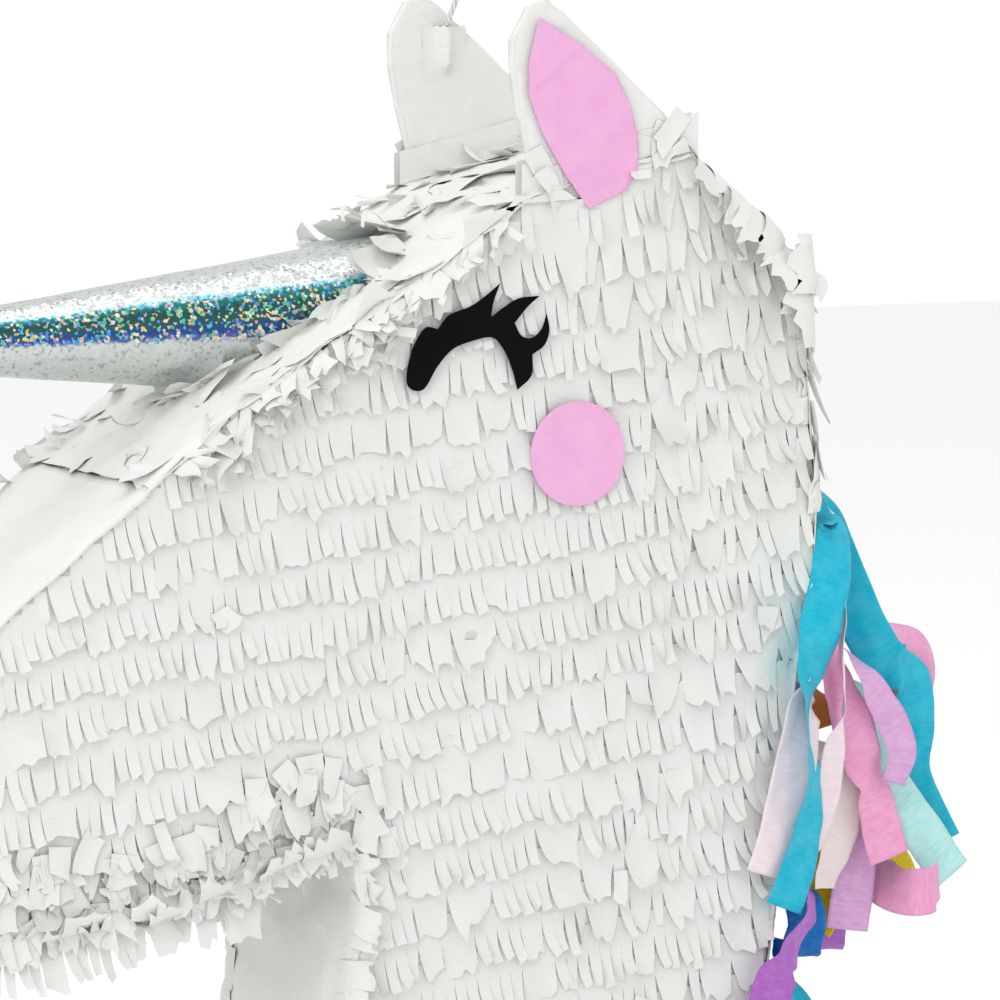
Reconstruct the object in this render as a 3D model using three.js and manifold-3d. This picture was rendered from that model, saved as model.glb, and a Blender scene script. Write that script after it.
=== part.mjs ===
// A unicorn-head party pinata: two card side panels held apart by a rim of bent card, tissue fringe
// over all of it, a foil horn, ears cut in one with the panels, and a mane of crepe streamers.
//
// Millimetres, +Z up. The head looks along -X, its left side faces -Y, and the origin is the centre
// of the flat neck base that it stands on.

import * as THREE from 'three';
import { mergeVertices } from 'three/addons/utils/BufferGeometryUtils.js';
import Module from 'manifold-3d';

const wasm = await Module();
wasm.setup();

// ---------------------------------------------------------------------------------------------
// Driving dimensions
// ---------------------------------------------------------------------------------------------

const headWidth = 101.6; // over the two side panels
const panelCard = 3; // corrugated card of the side panels
const rimCard = 2; // thinner card that bends round the rim
const glueGap = 0.3; // between any two glued pieces
const flangeDepth = 12; // folded edge of a rim band that is glued to the panel
const mitreGap = 0.6; // where two rim bands meet

const fringeDepth = 3.2; // tissue fringe on the sides
const rimTissueDepth = 2.4; // tissue on the rim
const rimTissueInset = 1.1; // rim tissue stops short of the panels' inner faces
const sleeveWall = 0.5; // tissue wrapped round an ear
const decalThickness = 0.5; // paper eye, cheek and ear patches

const flapLength = 46; // fill flap, along the crest
const flapWidth = 64;
const flapSetback = 6; // from the poll corner down to the fold
const flapGap = 0.4; // cut all round the flap
const flapTissueSetback = 4; // tissue on the flap stays clear of the fold

const hornLength = 199; // in sight
const hornRadius = 24.3; // where its axis meets the forehead
const hornTipRadius = 1;
const hornWall = 0.8;
const hornHidden = 60; // the cone runs on inside the head before it is trimmed
const hornTabWidth = 8; // card tabs round the horn's inner end
const hornTabThickness = 1;
const hornClearance = 0.4;

const muzzleRadius = 41; // round front of the nose
const cheekRadius = 18.5;
const cordDiameter = 2;
const streamerWidth = 17;
const streamerThickness = 0.4;
const maneStripDepth = 0.8;
const maneStripInset = 4.7; // from the edge of the tissue that it is glued on

// ---------------------------------------------------------------------------------------------
// Outlines, as [x, z]
// ---------------------------------------------------------------------------------------------

/** Points on a circle, from one angle to another in degrees. */
function arcPoints(centre, radius, from, to, steps) {
  return Array.from({ length: steps + 1 }, (_, i) => {
    const angle = THREE.MathUtils.degToRad(from + ((to - from) * i) / steps);
    return [centre[0] + radius * Math.cos(angle), centre[1] + radius * Math.sin(angle)];
  });
}

const muzzle = arcPoints([-228, 151], muzzleRadius, 128, 265, 8);
const noseBrow = [-150, 265]; // where the nose bridge gives way to the forehead
const poll = [58, 375];
const pollCorner = [103, 335];
const maneTop = [110, 257];
const throat = [-84, 138.5];
const neckFront = [-83, 0];
const neckBack = [78, 0];

// The rim, in order round the head with the card on its left hand. Each run ends where the next starts.
const rimRuns = {
  base: [neckFront, neckBack],
  crest_lower: [neckBack, [93.5, 103], [99, 162], [103, 197], [109, 229], maneTop],
  crest_upper: [maneTop, [107, 278], pollCorner],
  poll: [pollCorner, poll],
  forehead: [poll, [-4, 360.5], [-118, 290], noseBrow],
  nose_bridge: [noseBrow, muzzle[0]],
  muzzle,
  jaw: [muzzle.at(-1), [-211, 113], [-148, 119], [-125, 125], [-101, 134], throat],
  neck_front: [throat, [-76, 137], [-70.5, 131], [-69, 122], [-75, 82], neckFront],
};

const earOutline = [
  [56, 376], [48, 389], [39, 397], [24, 411], [8, 425], [1.6, 429],
  [-4, 427], [-10, 416], [-10, 405], [-7, 389], [-1, 366],
];

const earPatchOutline = [
  [-2, 424], [15, 414], [28, 404], [34, 393], [37, 381], [37, 370], [32.5, 363],
  [17.6, 357], [9, 368], [0, 382.5], [-6, 397], [-6, 408],
];

// A closed eye with three lashes at its back corner.
const lashOutline = [
  [-54, 299], [-53, 307], [-50.5, 313.6], [-46, 317.6], [-41.5, 316], [-38, 321], [-29, 324],
  [-23, 328], [-18, 331.5], [-22, 323.6], [-20, 318], [-15, 322], [-10, 325], [-2.8, 326.6],
  [-8, 322], [-13, 316.5], [-6, 312], [-1.6, 315], [0.4, 320.5], [1.2, 313.7], [-1.6, 309],
  [-6, 306.7], [-6, 298.6], [-11, 294.6], [-16, 307.8], [-19, 312.5], [-21, 313], [-35, 311],
  [-38, 308], [-43, 303], [-48.5, 295.6], [-53, 296],
];

const cheekCentre = [12.5, 271];

// ---------------------------------------------------------------------------------------------
// Materials
// ---------------------------------------------------------------------------------------------

const matt = (color, roughness = 0.9) => new THREE.MeshStandardMaterial({ color, roughness, metalness: 0 });

const finishes = {
  kraft: matt(0xc8a67c),
  tissue: matt(0xeceeeb),
  foil: new THREE.MeshStandardMaterial({ color: 0xc9d2d6, roughness: 0.25, metalness: 0.9 }),
  black: matt(0x121113, 0.7),
  pink: matt(0xf0b4e1),
  cord: matt(0xf4f3ef, 0.8),
};

const crepe = {
  cyan: matt(0x22c4dc),
  pale: matt(0xf3e6ea),
  cream: matt(0xf0e2dc),
  pink: matt(0xf08ccf),
  lilac: matt(0xd6a5d6),
  mint: matt(0xa8e0d8),
  yellow: matt(0xdcc21a),
  blue: matt(0x1560b8),
  violet: matt(0xa45cb4),
  orange: matt(0xc87a28),
};

// ---------------------------------------------------------------------------------------------
// Plane geometry
// ---------------------------------------------------------------------------------------------

/** Moves each corner of a closed outline outwards, keeping its sides parallel. */
function offsetOutline(points, distance) {
  const count = points.length;
  const normals = points.map(([x, z], i) => {
    const [nextX, nextZ] = points[(i + 1) % count];
    const length = Math.hypot(nextX - x, nextZ - z);
    return [(nextZ - z) / length, (x - nextX) / length];
  });
  return points.map(([x, z], i) => {
    const before = normals[(i + count - 1) % count];
    const after = normals[i];
    const share = distance / (1 + before[0] * after[0] + before[1] * after[1]);
    return [x + (before[0] + after[0]) * share, z + (before[1] + after[1]) * share];
  });
}

const rimOutline = Object.values(rimRuns).flatMap((run) => run.slice(0, -1));

const rimStarts = {};
Object.entries(rimRuns).reduce((start, [name, run]) => {
  rimStarts[name] = start;
  return start + run.length - 1;
}, 0);

/** The point moved towards another one. */
function towards([x, z], [toX, toZ], distance) {
  const length = Math.hypot(toX - x, toZ - z);
  return [x + ((toX - x) / length) * distance, z + ((toZ - z) / length) * distance];
}

/** A closed strip along one run of the rim, between two offsets and short of both its ends. */
function stripAlong(name, outer, inner, startGap, endGap) {
  const count = rimRuns[name].length;
  const pick = (outline) =>
    Array.from({ length: count }, (_, i) => outline[(rimStarts[name] + i) % outline.length]);
  const shorten = (run) => {
    const first = towards(run[0], run[1], startGap);
    const last = towards(run[count - 1], run[count - 2], endGap);
    return [first, ...run.slice(1, -1), last];
  };
  const outside = shorten(pick(offsetOutline(rimOutline, outer)));
  const inside = shorten(pick(offsetOutline(rimOutline, inner)));
  return [...outside, ...inside.reverse()];
}

// ---------------------------------------------------------------------------------------------
// Solids
// ---------------------------------------------------------------------------------------------

/** A plate with the given x-z outline, from one y to another. */
function plate(points, fromY, toY) {
  const shape = new THREE.Shape(points.map(([x, z]) => new THREE.Vector2(x, z)));
  const low = Math.min(fromY, toY);
  const high = Math.max(fromY, toY);
  const geometry = new THREE.ExtrudeGeometry(shape, { depth: high - low, bevelEnabled: false });
  return geometry.rotateX(Math.PI / 2).translate(0, high, 0);
}

/** A three.js geometry as a solid that can be joined and cut. */
function solidOf(geometry) {
  const bare = geometry.clone();
  bare.deleteAttribute('normal');
  bare.deleteAttribute('uv');
  const merged = mergeVertices(bare, 1e-4);
  return new wasm.Manifold(
    new wasm.Mesh({
      numProp: 3,
      vertProperties: merged.attributes.position.array,
      triVerts: new Uint32Array(merged.index.array),
    }),
  );
}

/** A solid back as a three.js geometry. */
function geometryOf(solid) {
  const mesh = solid.getMesh();
  const geometry = new THREE.BufferGeometry();
  geometry.setAttribute('position', new THREE.BufferAttribute(mesh.vertProperties, 3));
  geometry.setIndex(new THREE.BufferAttribute(mesh.triVerts, 1));
  geometry.computeVertexNormals();
  return geometry;
}

const solidPlate = (points, fromY, toY) => solidOf(plate(points, fromY, toY));

const head = new THREE.Group();

/** Adds a named piece to the head. */
function addPiece(name, geometry, material) {
  const mesh = new THREE.Mesh(geometry, material);
  mesh.name = name;
  head.add(mesh);
}

const sides = { left: -1, right: 1 };
const panelOuter = headWidth / 2;
const panelInner = panelOuter - panelCard;
const bandHalfWidth = panelInner - glueGap;
const rimTissueHalfWidth = panelInner - rimTissueInset;
const fringeInner = panelOuter + glueGap;
const fringeOuter = fringeInner + fringeDepth;

// ---------------------------------------------------------------------------------------------
// Side panels and rim bands
// ---------------------------------------------------------------------------------------------

/** A side panel's outline: the rim, with the ear standing up between the poll and the forehead. */
function panelOutline() {
  const pollIndex = rimStarts.forehead;
  return [...rimOutline.slice(0, pollIndex + 1), ...earOutline, ...rimOutline.slice(pollIndex + 1)];
}

function addSidePanels() {
  for (const [name, side] of Object.entries(sides)) {
    addPiece(`${name}_side_panel`, plate(panelOutline(), side * panelInner, side * panelOuter), finishes.kraft);
  }
}

/** A rim band: a web between the panels, with an edge folded in against each of them. */
function rimBand(name) {
  const gap = mitreGap / 2;
  const web = solidPlate(stripAlong(name, 0, -rimCard, gap, gap), -bandHalfWidth, bandHalfWidth);
  const edge = stripAlong(name, 0, -flangeDepth, gap, gap);
  const leftEdge = solidPlate(edge, -bandHalfWidth, rimCard - bandHalfWidth);
  const rightEdge = solidPlate(edge, bandHalfWidth - rimCard, bandHalfWidth);
  return web.add(leftEdge).add(rightEdge);
}

/** The tissue on a run of the rim, outside its card. */
function rimTissue(name, startGap = mitreGap / 2, endGap = mitreGap / 2) {
  const strip = stripAlong(name, glueGap + rimTissueDepth, glueGap, startGap, endGap);
  return solidPlate(strip, -rimTissueHalfWidth, rimTissueHalfWidth);
}

// ---------------------------------------------------------------------------------------------
// Fill flap, cut from the upper crest and folded along its top edge
// ---------------------------------------------------------------------------------------------

const crestTop = rimRuns.crest_upper.at(-1);
const crestBelow = rimRuns.crest_upper.at(-2);
const crestLength = Math.hypot(crestBelow[0] - crestTop[0], crestBelow[1] - crestTop[1]);
const downCrest = [(crestBelow[0] - crestTop[0]) / crestLength, (crestBelow[1] - crestTop[1]) / crestLength];
const outOfCrest = [-downCrest[1], downCrest[0]];

/** A point placed from the flap's fold: so far down the crest and so far out of it. */
function fromFold(down, out) {
  return [0, 1].map((i) => crestTop[i] + downCrest[i] * (flapSetback + down) + outOfCrest[i] * out);
}

/** A slab on the crest, between two distances down from the fold and two out from the card's face. */
function crestSlab(fromDown, toDown, fromOut, toOut, halfWidth) {
  const outline = [
    fromFold(fromDown, fromOut), fromFold(toDown, fromOut), fromFold(toDown, toOut), fromFold(fromDown, toOut),
  ];
  return solidPlate(outline, -halfWidth, halfWidth);
}

function addFillFlap() {
  const halfWidth = flapWidth / 2;
  const flap = crestSlab(0, flapLength, -rimCard, 0, halfWidth);
  const tissue = crestSlab(flapTissueSetback, flapLength, glueGap, glueGap + rimTissueDepth, halfWidth);
  addPiece('fill_flap', geometryOf(flap), finishes.kraft);
  addPiece('fill_flap_fringe', geometryOf(tissue), finishes.tissue);
}

/** The hole that the flap is cut from, with a little more room through the tissue. */
function flapHole(gap) {
  const reach = rimCard + rimTissueDepth + glueGap;
  return crestSlab(-gap, flapLength + gap, -2 * reach, 2 * reach, flapWidth / 2 + gap);
}

// ---------------------------------------------------------------------------------------------
// Horn
// ---------------------------------------------------------------------------------------------

const hornRoot = new THREE.Vector3(-83, 0, 316);
const hornTip = new THREE.Vector3(-282, 0, 311);
const hornTaper = (hornRadius - hornTipRadius) / hornLength;
const hornSides = 32;

/** A profile on the horn's axis, turned about it and laid along the horn's direction. */
function turnedAlongHorn(profile) {
  const geometry = new THREE.LatheGeometry(profile.map(([r, y]) => new THREE.Vector2(r, y)), hornSides);
  const direction = hornTip.clone().sub(hornRoot).normalize();
  const turn = new THREE.Quaternion().setFromUnitVectors(new THREE.Vector3(0, 1, 0), direction);
  return geometry.applyQuaternion(turn).translate(hornRoot.x, hornRoot.y, hornRoot.z);
}

/** A solid cone like the horn's outside, wider all over by the given amount. */
function hornCone(wider) {
  const rootRadius = hornRadius + hornTaper * hornHidden + wider;
  return solidOf(
    turnedAlongHorn([[0, -hornHidden], [rootRadius, -hornHidden], [hornTipRadius + wider, hornLength + wider],
      [0, hornLength + wider]]),
  );
}

/** The hollow of the horn. It ends a few walls short of the tip. */
function hornHollow() {
  const end = hornLength - (6 * hornWall + hornTipRadius) / hornTaper / 2;
  const rootRadius = hornRadius + hornTaper * hornHidden - hornWall;
  const endRadius = hornRadius - hornTaper * end - hornWall;
  return solidOf(
    turnedAlongHorn([[0, -hornHidden - 1], [rootRadius, -hornHidden - 1], [endRadius, end], [0, end]]),
  );
}

/** All the space between two depths below the outer face of one stretch of the forehead card, the horn's by default. */
function belowForehead(from, to, stretch = 1) {
  const [high, low] = rimRuns.forehead.slice(stretch, stretch + 2);
  const slope = Math.atan2(high[1] - low[1], high[0] - low[0]);
  const reach = 4 * hornLength;
  const slab = new THREE.BoxGeometry(reach, reach, to - from);
  slab.translate(0, 0, -(from + to) / 2).rotateY(-slope).translate(low[0], 0, low[1]);
  return solidOf(slab);
}

function addHorn() {
  const tabTop = rimCard + glueGap;
  const tabBottom = tabTop + hornTabThickness;
  const reach = hornHidden + hornLength;
  const wall = hornCone(0).subtract(hornHollow()).subtract(belowForehead(tabBottom, reach));
  const tabReach = bandHalfWidth - rimCard - glueGap; // the tabs stay between the band's folded edges
  const tabs = hornCone(hornTabWidth)
    .intersect(belowForehead(tabTop, tabBottom))
    .intersect(belowForehead(tabTop, reach, 2))
    .intersect(solidOf(new THREE.BoxGeometry(4 * hornLength, 2 * tabReach, 4 * hornLength)))
    .subtract(hornCone(-hornWall / 2));
  addPiece('horn', geometryOf(wall.add(tabs)), finishes.foil);
}

// ---------------------------------------------------------------------------------------------
// Rim pieces
// ---------------------------------------------------------------------------------------------

function addRim() {
  for (const name of Object.keys(rimRuns)) {
    let band = rimBand(name);
    if (name === 'crest_upper') band = band.subtract(flapHole(flapGap));
    if (name === 'forehead') band = band.subtract(hornCone(hornClearance));
    addPiece(`${name}_band`, geometryOf(band), finishes.kraft);
  }
}

const floorGap = 2; // tissue stops short of the floor
const hemGap = floorGap + rimTissueDepth + glueGap;

function addRimTissue() {
  const plain = { poll: 'poll_tissue', nose_bridge: 'nose_bridge_tissue', muzzle: 'muzzle_fringe', jaw: 'jaw_fringe' };
  for (const [run, name] of Object.entries(plain)) {
    addPiece(name, geometryOf(rimTissue(run)), finishes.tissue);
  }
  const forehead = rimTissue('forehead').subtract(hornCone(2 * hornClearance));
  const crestUpper = rimTissue('crest_upper').subtract(flapHole(flapGap + 0.2));
  addPiece('forehead_fringe', geometryOf(forehead), finishes.tissue);
  addPiece('crest_upper_fringe', geometryOf(crestUpper), finishes.tissue);
  addPiece('crest_lower_fringe', geometryOf(rimTissue('crest_lower', hemGap)), finishes.tissue);
  addPiece('neck_front_tissue', geometryOf(rimTissue('neck_front', mitreGap / 2, hemGap)), finishes.tissue);
}

// ---------------------------------------------------------------------------------------------
// Tissue and paper on the sides
// ---------------------------------------------------------------------------------------------

function addSideFringes() {
  const outline = offsetOutline(rimOutline, -glueGap).map(([x, z]) => [x, Math.max(z, floorGap)]);
  const patchRoom = offsetOutline([...earPatchOutline].reverse(), 2 * glueGap);
  for (const [name, side] of Object.entries(sides)) {
    const fringe = solidPlate(outline, side * fringeInner, side * fringeOuter);
    const room = solidPlate(patchRoom, side * panelOuter, side * (fringeOuter + 1));
    addPiece(`${name}_side_fringe`, geometryOf(fringe.subtract(room)), finishes.tissue);
  }
}

/** Tissue folded over an ear's edge, on both faces of its card and open at the bottom. */
function addEarTissue() {
  const ear = offsetOutline(earOutline, glueGap);
  const outside = offsetOutline(earOutline, glueGap + sleeveWall);
  const lift = 1; // the sleeve starts just above the rim
  const hem = [earOutline.at(-1), earOutline[0]].map(([x, z]) => [x, z + lift]);
  const run = (hem[1][1] - hem[0][1]) / (hem[1][0] - hem[0][0]);
  const reach = streamerWidth;
  const below = [
    [hem[0][0] - reach, hem[0][1] - run * reach], [hem[0][0] - reach, hem[0][1] - 3 * reach],
    [hem[1][0] + reach, hem[1][1] - 3 * reach], [hem[1][0] + reach, hem[1][1] + run * reach],
  ];
  for (const [name, side] of Object.entries(sides)) {
    const inner = side * (panelInner - glueGap);
    const outer = side * (panelOuter + glueGap);
    const wrap = solidPlate(outside, inner - side * sleeveWall, outer + side * sleeveWall);
    const trim = solidPlate(below, inner - side, outer + side);
    const room = solidPlate(ear, inner, outer);
    addPiece(`${name}_ear_tissue`, geometryOf(wrap.subtract(room).subtract(trim)), finishes.tissue);
  }
}

function addPaperShapes() {
  const cheekOutline = arcPoints(cheekCentre, cheekRadius, 0, 360 - 360 / 40, 39);
  const onFringe = fringeOuter + glueGap;
  const onEar = panelOuter + glueGap + sleeveWall + glueGap;
  for (const [name, side] of Object.entries(sides)) {
    const decal = (outline, from) => plate(outline, side * from, side * (from + decalThickness));
    addPiece(`${name}_ear_patch`, decal(earPatchOutline, onEar), finishes.pink);
    addPiece(`${name}_eyelashes`, decal(lashOutline, onFringe), finishes.black);
    addPiece(`${name}_cheek`, decal(cheekOutline, onFringe), finishes.pink);
  }
}

// ---------------------------------------------------------------------------------------------
// Hanging cord, glued under a card tab inside each ear
// ---------------------------------------------------------------------------------------------

const cordX = 10;
const cordTab = { width: 10, height: 12, centreZ: 410 };
const earSkin = panelInner - glueGap - sleeveWall; // inner face of the ear's tissue
const cordOffset = glueGap + cordDiameter / 2;
const cordSide = earSkin - cordOffset; // how far out the cord lies against the ear

// Half of the cord as [distance from the middle plane, z], from the apex down to one ear.
const cordHalf = [
  [2.2, 466], [6, 462.4], [12, 455.8], [18, 449.2], [24, 442.6], [30, 436], [36, 429.4],
  [41, 423.8], [44, 420], [cordSide - 0.3, 416.5], [cordSide, 412], [cordSide, 407],
];

function cordPath() {
  const near = [...cordHalf].reverse().map(([out, z]) => new THREE.Vector3(cordX, -out, z));
  const far = cordHalf.map(([out, z]) => new THREE.Vector3(cordX, out, z));
  return new THREE.CatmullRomCurve3([...near, new THREE.Vector3(cordX, 0, 467), ...far], false, 'centripetal');
}

/** A round tube along a curve. */
function tube(path, radius, steps) {
  const section = new THREE.Shape(arcPoints([0, 0], radius, 0, 315, 7).map(([x, y]) => new THREE.Vector2(x, y)));
  return new THREE.ExtrudeGeometry(section, { extrudePath: path, steps, bevelEnabled: false });
}

function addCord() {
  const path = cordPath();
  addPiece('hanging_cord', tube(path, cordDiameter / 2, Math.round(path.getLength() / (2 * cordDiameter))), finishes.cord);
  const { width, height, centreZ } = cordTab;
  const depth = cordDiameter + 2 * glueGap + 1;
  for (const [name, side] of Object.entries(sides)) {
    const tab = new THREE.BoxGeometry(width, depth, height);
    tab.translate(cordX, side * (earSkin - glueGap - depth / 2), centreZ);
    const straight = new THREE.LineCurve3(
      new THREE.Vector3(cordX, side * cordSide, cordHalf.at(-1)[1] - glueGap),
      new THREE.Vector3(cordX, side * (cordSide - glueGap), centreZ + height),
    );
    const bore = tube(straight, cordDiameter / 2 + glueGap, 1);
    addPiece(`${name}_cord_tab`, geometryOf(solidOf(tab).subtract(solidOf(bore))), finishes.tissue);
  }
}

// ---------------------------------------------------------------------------------------------
// Mane
// ---------------------------------------------------------------------------------------------

// Each streamer's middle line as [x, y, z, heading, tilt], after its root on the mane strip. Heading and
// tilt say which way its width points there, in degrees round from +X and up from level. A twisted one
// may be narrower, and gives its own width. The lines are laid out for the head width below, and move
// out with the sides of a wider head.
const maneLaidOutFor = 101.6;
const streamers = {
  cyan_front: ['cyan', [
    [118, -34, 253, 80], [123, -36, 237, 12], [131, -38, 216, 0], [140, -38, 198, 10], [148, -37, 188, 45],
    [157, -34, 184, 60], [162, -33, 178, 20], [162, -33, 162, 0], [162, -31, 147, 5], [166, -32, 133, 0],
    [174, -33, 118, -10],
  ]],
  cyan_edge: ['cyan', [
    [119, -48.5, 241, 75], [115, -60, 225, 10], [110, -62, 207, 0], [106, -62, 191, 10], [104, -62, 177, 30],
    [104, -65, 165, 50], [105, -64, 151, 38], [102, -62, 131, 0], [98, -62, 117, 0], [93, -62, 104, 0],
  ]],
  pale_edge: ['pale', [
    [110, -47, 188, 80], [108, -54, 182, 55], [102, -58.5, 173, 15], [98, -58.5, 152, 0], [93, -58.5, 133, 0],
    [87, -58.5, 116, 0],
  ]],
  pale_twist: ['pale', [
    [119, -46, 219, 82], [121, -51, 214, 75], [121, -54, 208, 68], [119, -55.5, 197, 70], [120, -55.5, 183, 60],
    [120, -55.5, 174, 68], [116, -55.5, 158, 5], [114, -55.5, 143, 0], [109, -55.5, 127, 20], [105, -55.5, 119, 40],
  ], 10],
  cream: ['cream', [
    [113, -34, 163, 80], [121, -43, 156, 25], [126, -45, 145, 0], [126, -45, 131, 10], [123, -45, 120, 20],
    [120, -45, 113, 30], [119, -45, 107, 35],
  ]],
  pink_fold: ['pink', [
    [114, -44, 204, 80], [117, -48, 201, 45], [118, -50, 196, 35], [119, -49, 190, 35], [123, -48, 180, 20],
    [127, -49, 169, 0], [131, -49.5, 156, 0], [136, -48, 146, 30], [138, -48, 138, 10], [141, -48, 127, 0],
    [144, -48, 117, 0],
  ]],
  lilac_loop: ['lilac', [
    [115, -33, 189, 88], [121, -34, 194, 84], [127, -36, 195, 75], [130.5, -43, 192, 66], [132.5, -51, 186, 25],
    [137, -53, 176, 5], [142, -53, 168, 0], [146, -53, 156, 0], [143, -52, 145, 15],
  ], 12],
  pink_back: ['pink', [
    [122, -5, 201, 88], [143, -10, 202, 75], [157, -18, 199, 50], [166, -23, 192, 15], [168, -24, 181, 0],
    [164, -25, 168, 0], [159, -25, 154, 0], [154, -25, 144, 0],
  ]],
  mint_front: ['mint', [
    [116, -13, 178, 88], [128, -17, 181, 80], [138, -23, 180, 45], [143, -29, 172, 5], [143.5, -31.5, 160, 0],
    [145, -36, 149, 3], [151, -40, 140, 2], [157, -43, 130, 0], [165, -43, 119, 0], [173, -43, 108, 0],
  ]],
  mint_back: ['mint', [
    [116, -3, 165, 90], [127, -6, 160, 80], [137, -16, 145, 40], [142, -24, 132, 10], [143, -26, 124, 15],
  ]],
  lilac_hang: ['lilac', [
    [114, -22, 158, 88], [123, -26, 156, 72], [131, -31, 144, 30], [135, -35, 128, 0], [136, -37, 114, 0],
    [134, -38, 102, 0], [132, -38, 90, 0],
  ]],
  yellow_curl: ['yellow', [
    [112, -27, 141, 88], [120, -29, 138, 72], [123, -32, 127, 45], [123, -30, 116, 15], [124, -29, 107, 0],
    [127, -30, 98, -12], [133, -32, 93, -10],
  ]],
  yellow_back: ['yellow', [
    [116, 3, 150, 90], [130, 0, 148, 80], [147, -6, 132, 40], [158, -10, 118, 15], [167, -12, 107, 5],
    [170, -13, 96, 0],
  ]],
  pink_curl: ['pink', [
    [112, -5, 139, 90, 0], [124, -7, 138, 80, 0], [134, -15, 124, 50, 10], [146, -25, 112, 25, 35],
    [149, -38, 105, 10, 65], [152, -50, 104, 0, 80], [158, -53, 105, 0, 85], [164, -49, 108, 0, 80],
  ]],
  blue_curl: ['blue', [
    [108, -34, 111, 82], [111, -40, 104, 12], [114, -40, 95, 5], [113, -39, 88, 0], [113, -36, 82, 0],
    [115, -30, 81, 0], [117, -26, 85, 0],
  ]],
  violet_curl: ['violet', [
    [112, -9, 113, 88], [121, -14, 110, 65], [129, -21, 99, 20], [131, -24, 88, 0], [132, -21, 81, 0],
    [134, -15, 79, 0], [135, -11, 83, 0],
  ]],
  violet_ribbon: ['violet', [
    [106, -44, 113, 80], [110, -50, 107, 60], [108, -54, 100, 45], [101, -57, 92, 42], [95, -60, 85, 30],
    [91, -60, 79, 0], [87, -60, 69, 0], [83, -60, 60, 0], [81, -60, 52, 0],
  ]],
  orange: ['orange', [
    [113, -30, 182, 88], [118, -34, 179, 50], [120, -37, 173, 15], [122, -38, 165, 0],
  ]],
  cyan_low: ['cyan', [[105, -20, 78, 88], [114, -24, 70, 50], [118, -26, 58, 10], [121, -28, 42, 0], [118, -27, 26, 0]]],
  blue_far: ['blue', [
    [121, 25, 239, 90], [130, 28, 226, 130], [139, 32, 204, 165], [146, 34, 172, 180], [150, 33, 140, 185],
    [154, 32, 110, 175],
  ]],
  lilac_far: ['lilac', [
    [117, 38, 213, 90], [126, 44, 200, 135], [132, 48, 176, 175], [134, 48, 148, 190], [130, 47, 120, 180],
  ]],
  mint_far: ['mint', [
    [112, 24, 152, 90], [122, 29, 148, 115], [131, 37, 130, 160], [136, 40, 104, 180], [134, 40, 78, 180],
  ]],
};

const maneStripFace = glueGap + rimTissueDepth + glueGap;
const maneStripHalfWidth = rimTissueHalfWidth - maneStripInset;

/** A streamer's points, moved out with the side of the head that it falls on. */
function movedWithSide(points) {
  const shift = (Math.sign(points[0][1]) * (headWidth - maneLaidOutFor)) / 2;
  return points.map(([x, y, z, ...turn]) => [x, y + shift, z, ...turn]);
}

/** Where a streamer of this height and depth is glued to the mane strip. */
function streamerRoot(y, z) {
  const crest = rimRuns.crest_lower;
  const above = Math.max(1, crest.findIndex(([, height]) => height >= z));
  const [low, high] = [crest[above - 1], crest[above]];
  const crestX = THREE.MathUtils.mapLinear(z, low[1], high[1], low[0], high[0]);
  return [crestX + maneStripFace + maneStripDepth + 3 * glueGap, y, z, 90];
}

/** Splits the quads of a box's bottom along the same diagonals as its top, so that a thin one keeps its wall when it is twisted. */
function matchDiagonals(geometry) {
  const bottom = geometry.groups[3];
  for (let i = bottom.start; i < bottom.start + bottom.count; i += 6) {
    const [a, b, d, , c] = Array.from({ length: 6 }, (_, k) => geometry.index.getX(i + k));
    [a, b, c, a, c, d].forEach((corner, k) => geometry.index.setX(i + k, corner));
  }
}

/** A ribbon of crepe that follows its points and turns with their headings. */
function ribbon(points, width) {
  const curve = new THREE.CatmullRomCurve3(points.map(([x, y, z]) => new THREE.Vector3(x, y, z)), false, 'centripetal');
  const spans = points.length - 1;
  const geometry = new THREE.BoxGeometry(width, streamerThickness, 1, 2, 1, 4 * spans);
  matchDiagonals(geometry);
  const position = geometry.attributes.position;
  const vertex = new THREE.Vector3();
  for (let i = 0; i < position.count; i += 1) {
    vertex.fromBufferAttribute(position, i);
    const t = THREE.MathUtils.clamp(vertex.z + 0.5, 0, 1);
    const span = Math.min(Math.floor(t * spans), spans - 1);
    const share = THREE.MathUtils.smoothstep(t * spans - span, 0, 1);
    const [heading, tilt] = [3, 4].map((k) =>
      THREE.MathUtils.degToRad(THREE.MathUtils.lerp(points[span][k] ?? 0, points[span + 1][k] ?? 0, share)),
    );
    const along = curve.getTangent(t);
    const across = new THREE.Vector3(
      Math.cos(heading) * Math.cos(tilt), Math.sin(heading) * Math.cos(tilt), Math.sin(tilt),
    );
    across.addScaledVector(along, -across.dot(along)).normalize();
    const face = new THREE.Vector3().crossVectors(along, across);
    const place = curve.getPoint(t).addScaledVector(across, vertex.x).addScaledVector(face, vertex.y);
    position.setXYZ(i, place.x, place.y, place.z);
  }
  return geometry;
}

function addMane() {
  const face = maneStripFace;
  const strip = stripAlong('crest_lower', face + maneStripDepth, face, 6 * floorGap, mitreGap / 2);
  addPiece('mane_strip', plate(strip, -maneStripHalfWidth, maneStripHalfWidth), crepe.cyan);
  for (const [name, [colour, laidOut, width = streamerWidth]] of Object.entries(streamers)) {
    const points = movedWithSide(laidOut);
    const [, y, z] = points[0];
    addPiece(`mane_${name}`, ribbon([streamerRoot(y, z), ...points], width), crepe[colour]);
  }
}

addSidePanels();
addRim();
addFillFlap();
addHorn();
addRimTissue();
addSideFringes();
addEarTissue();
addPaperShapes();
addCord();
addMane();

export default head;
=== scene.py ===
"""Looks of a unicorn-head party pinata: cut tissue fringe, foil horn, paper eyes, crepe mane and hanging cord.

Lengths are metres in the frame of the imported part: the head looks along -X, its left side faces -Y, +Z is up.
"""

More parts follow.
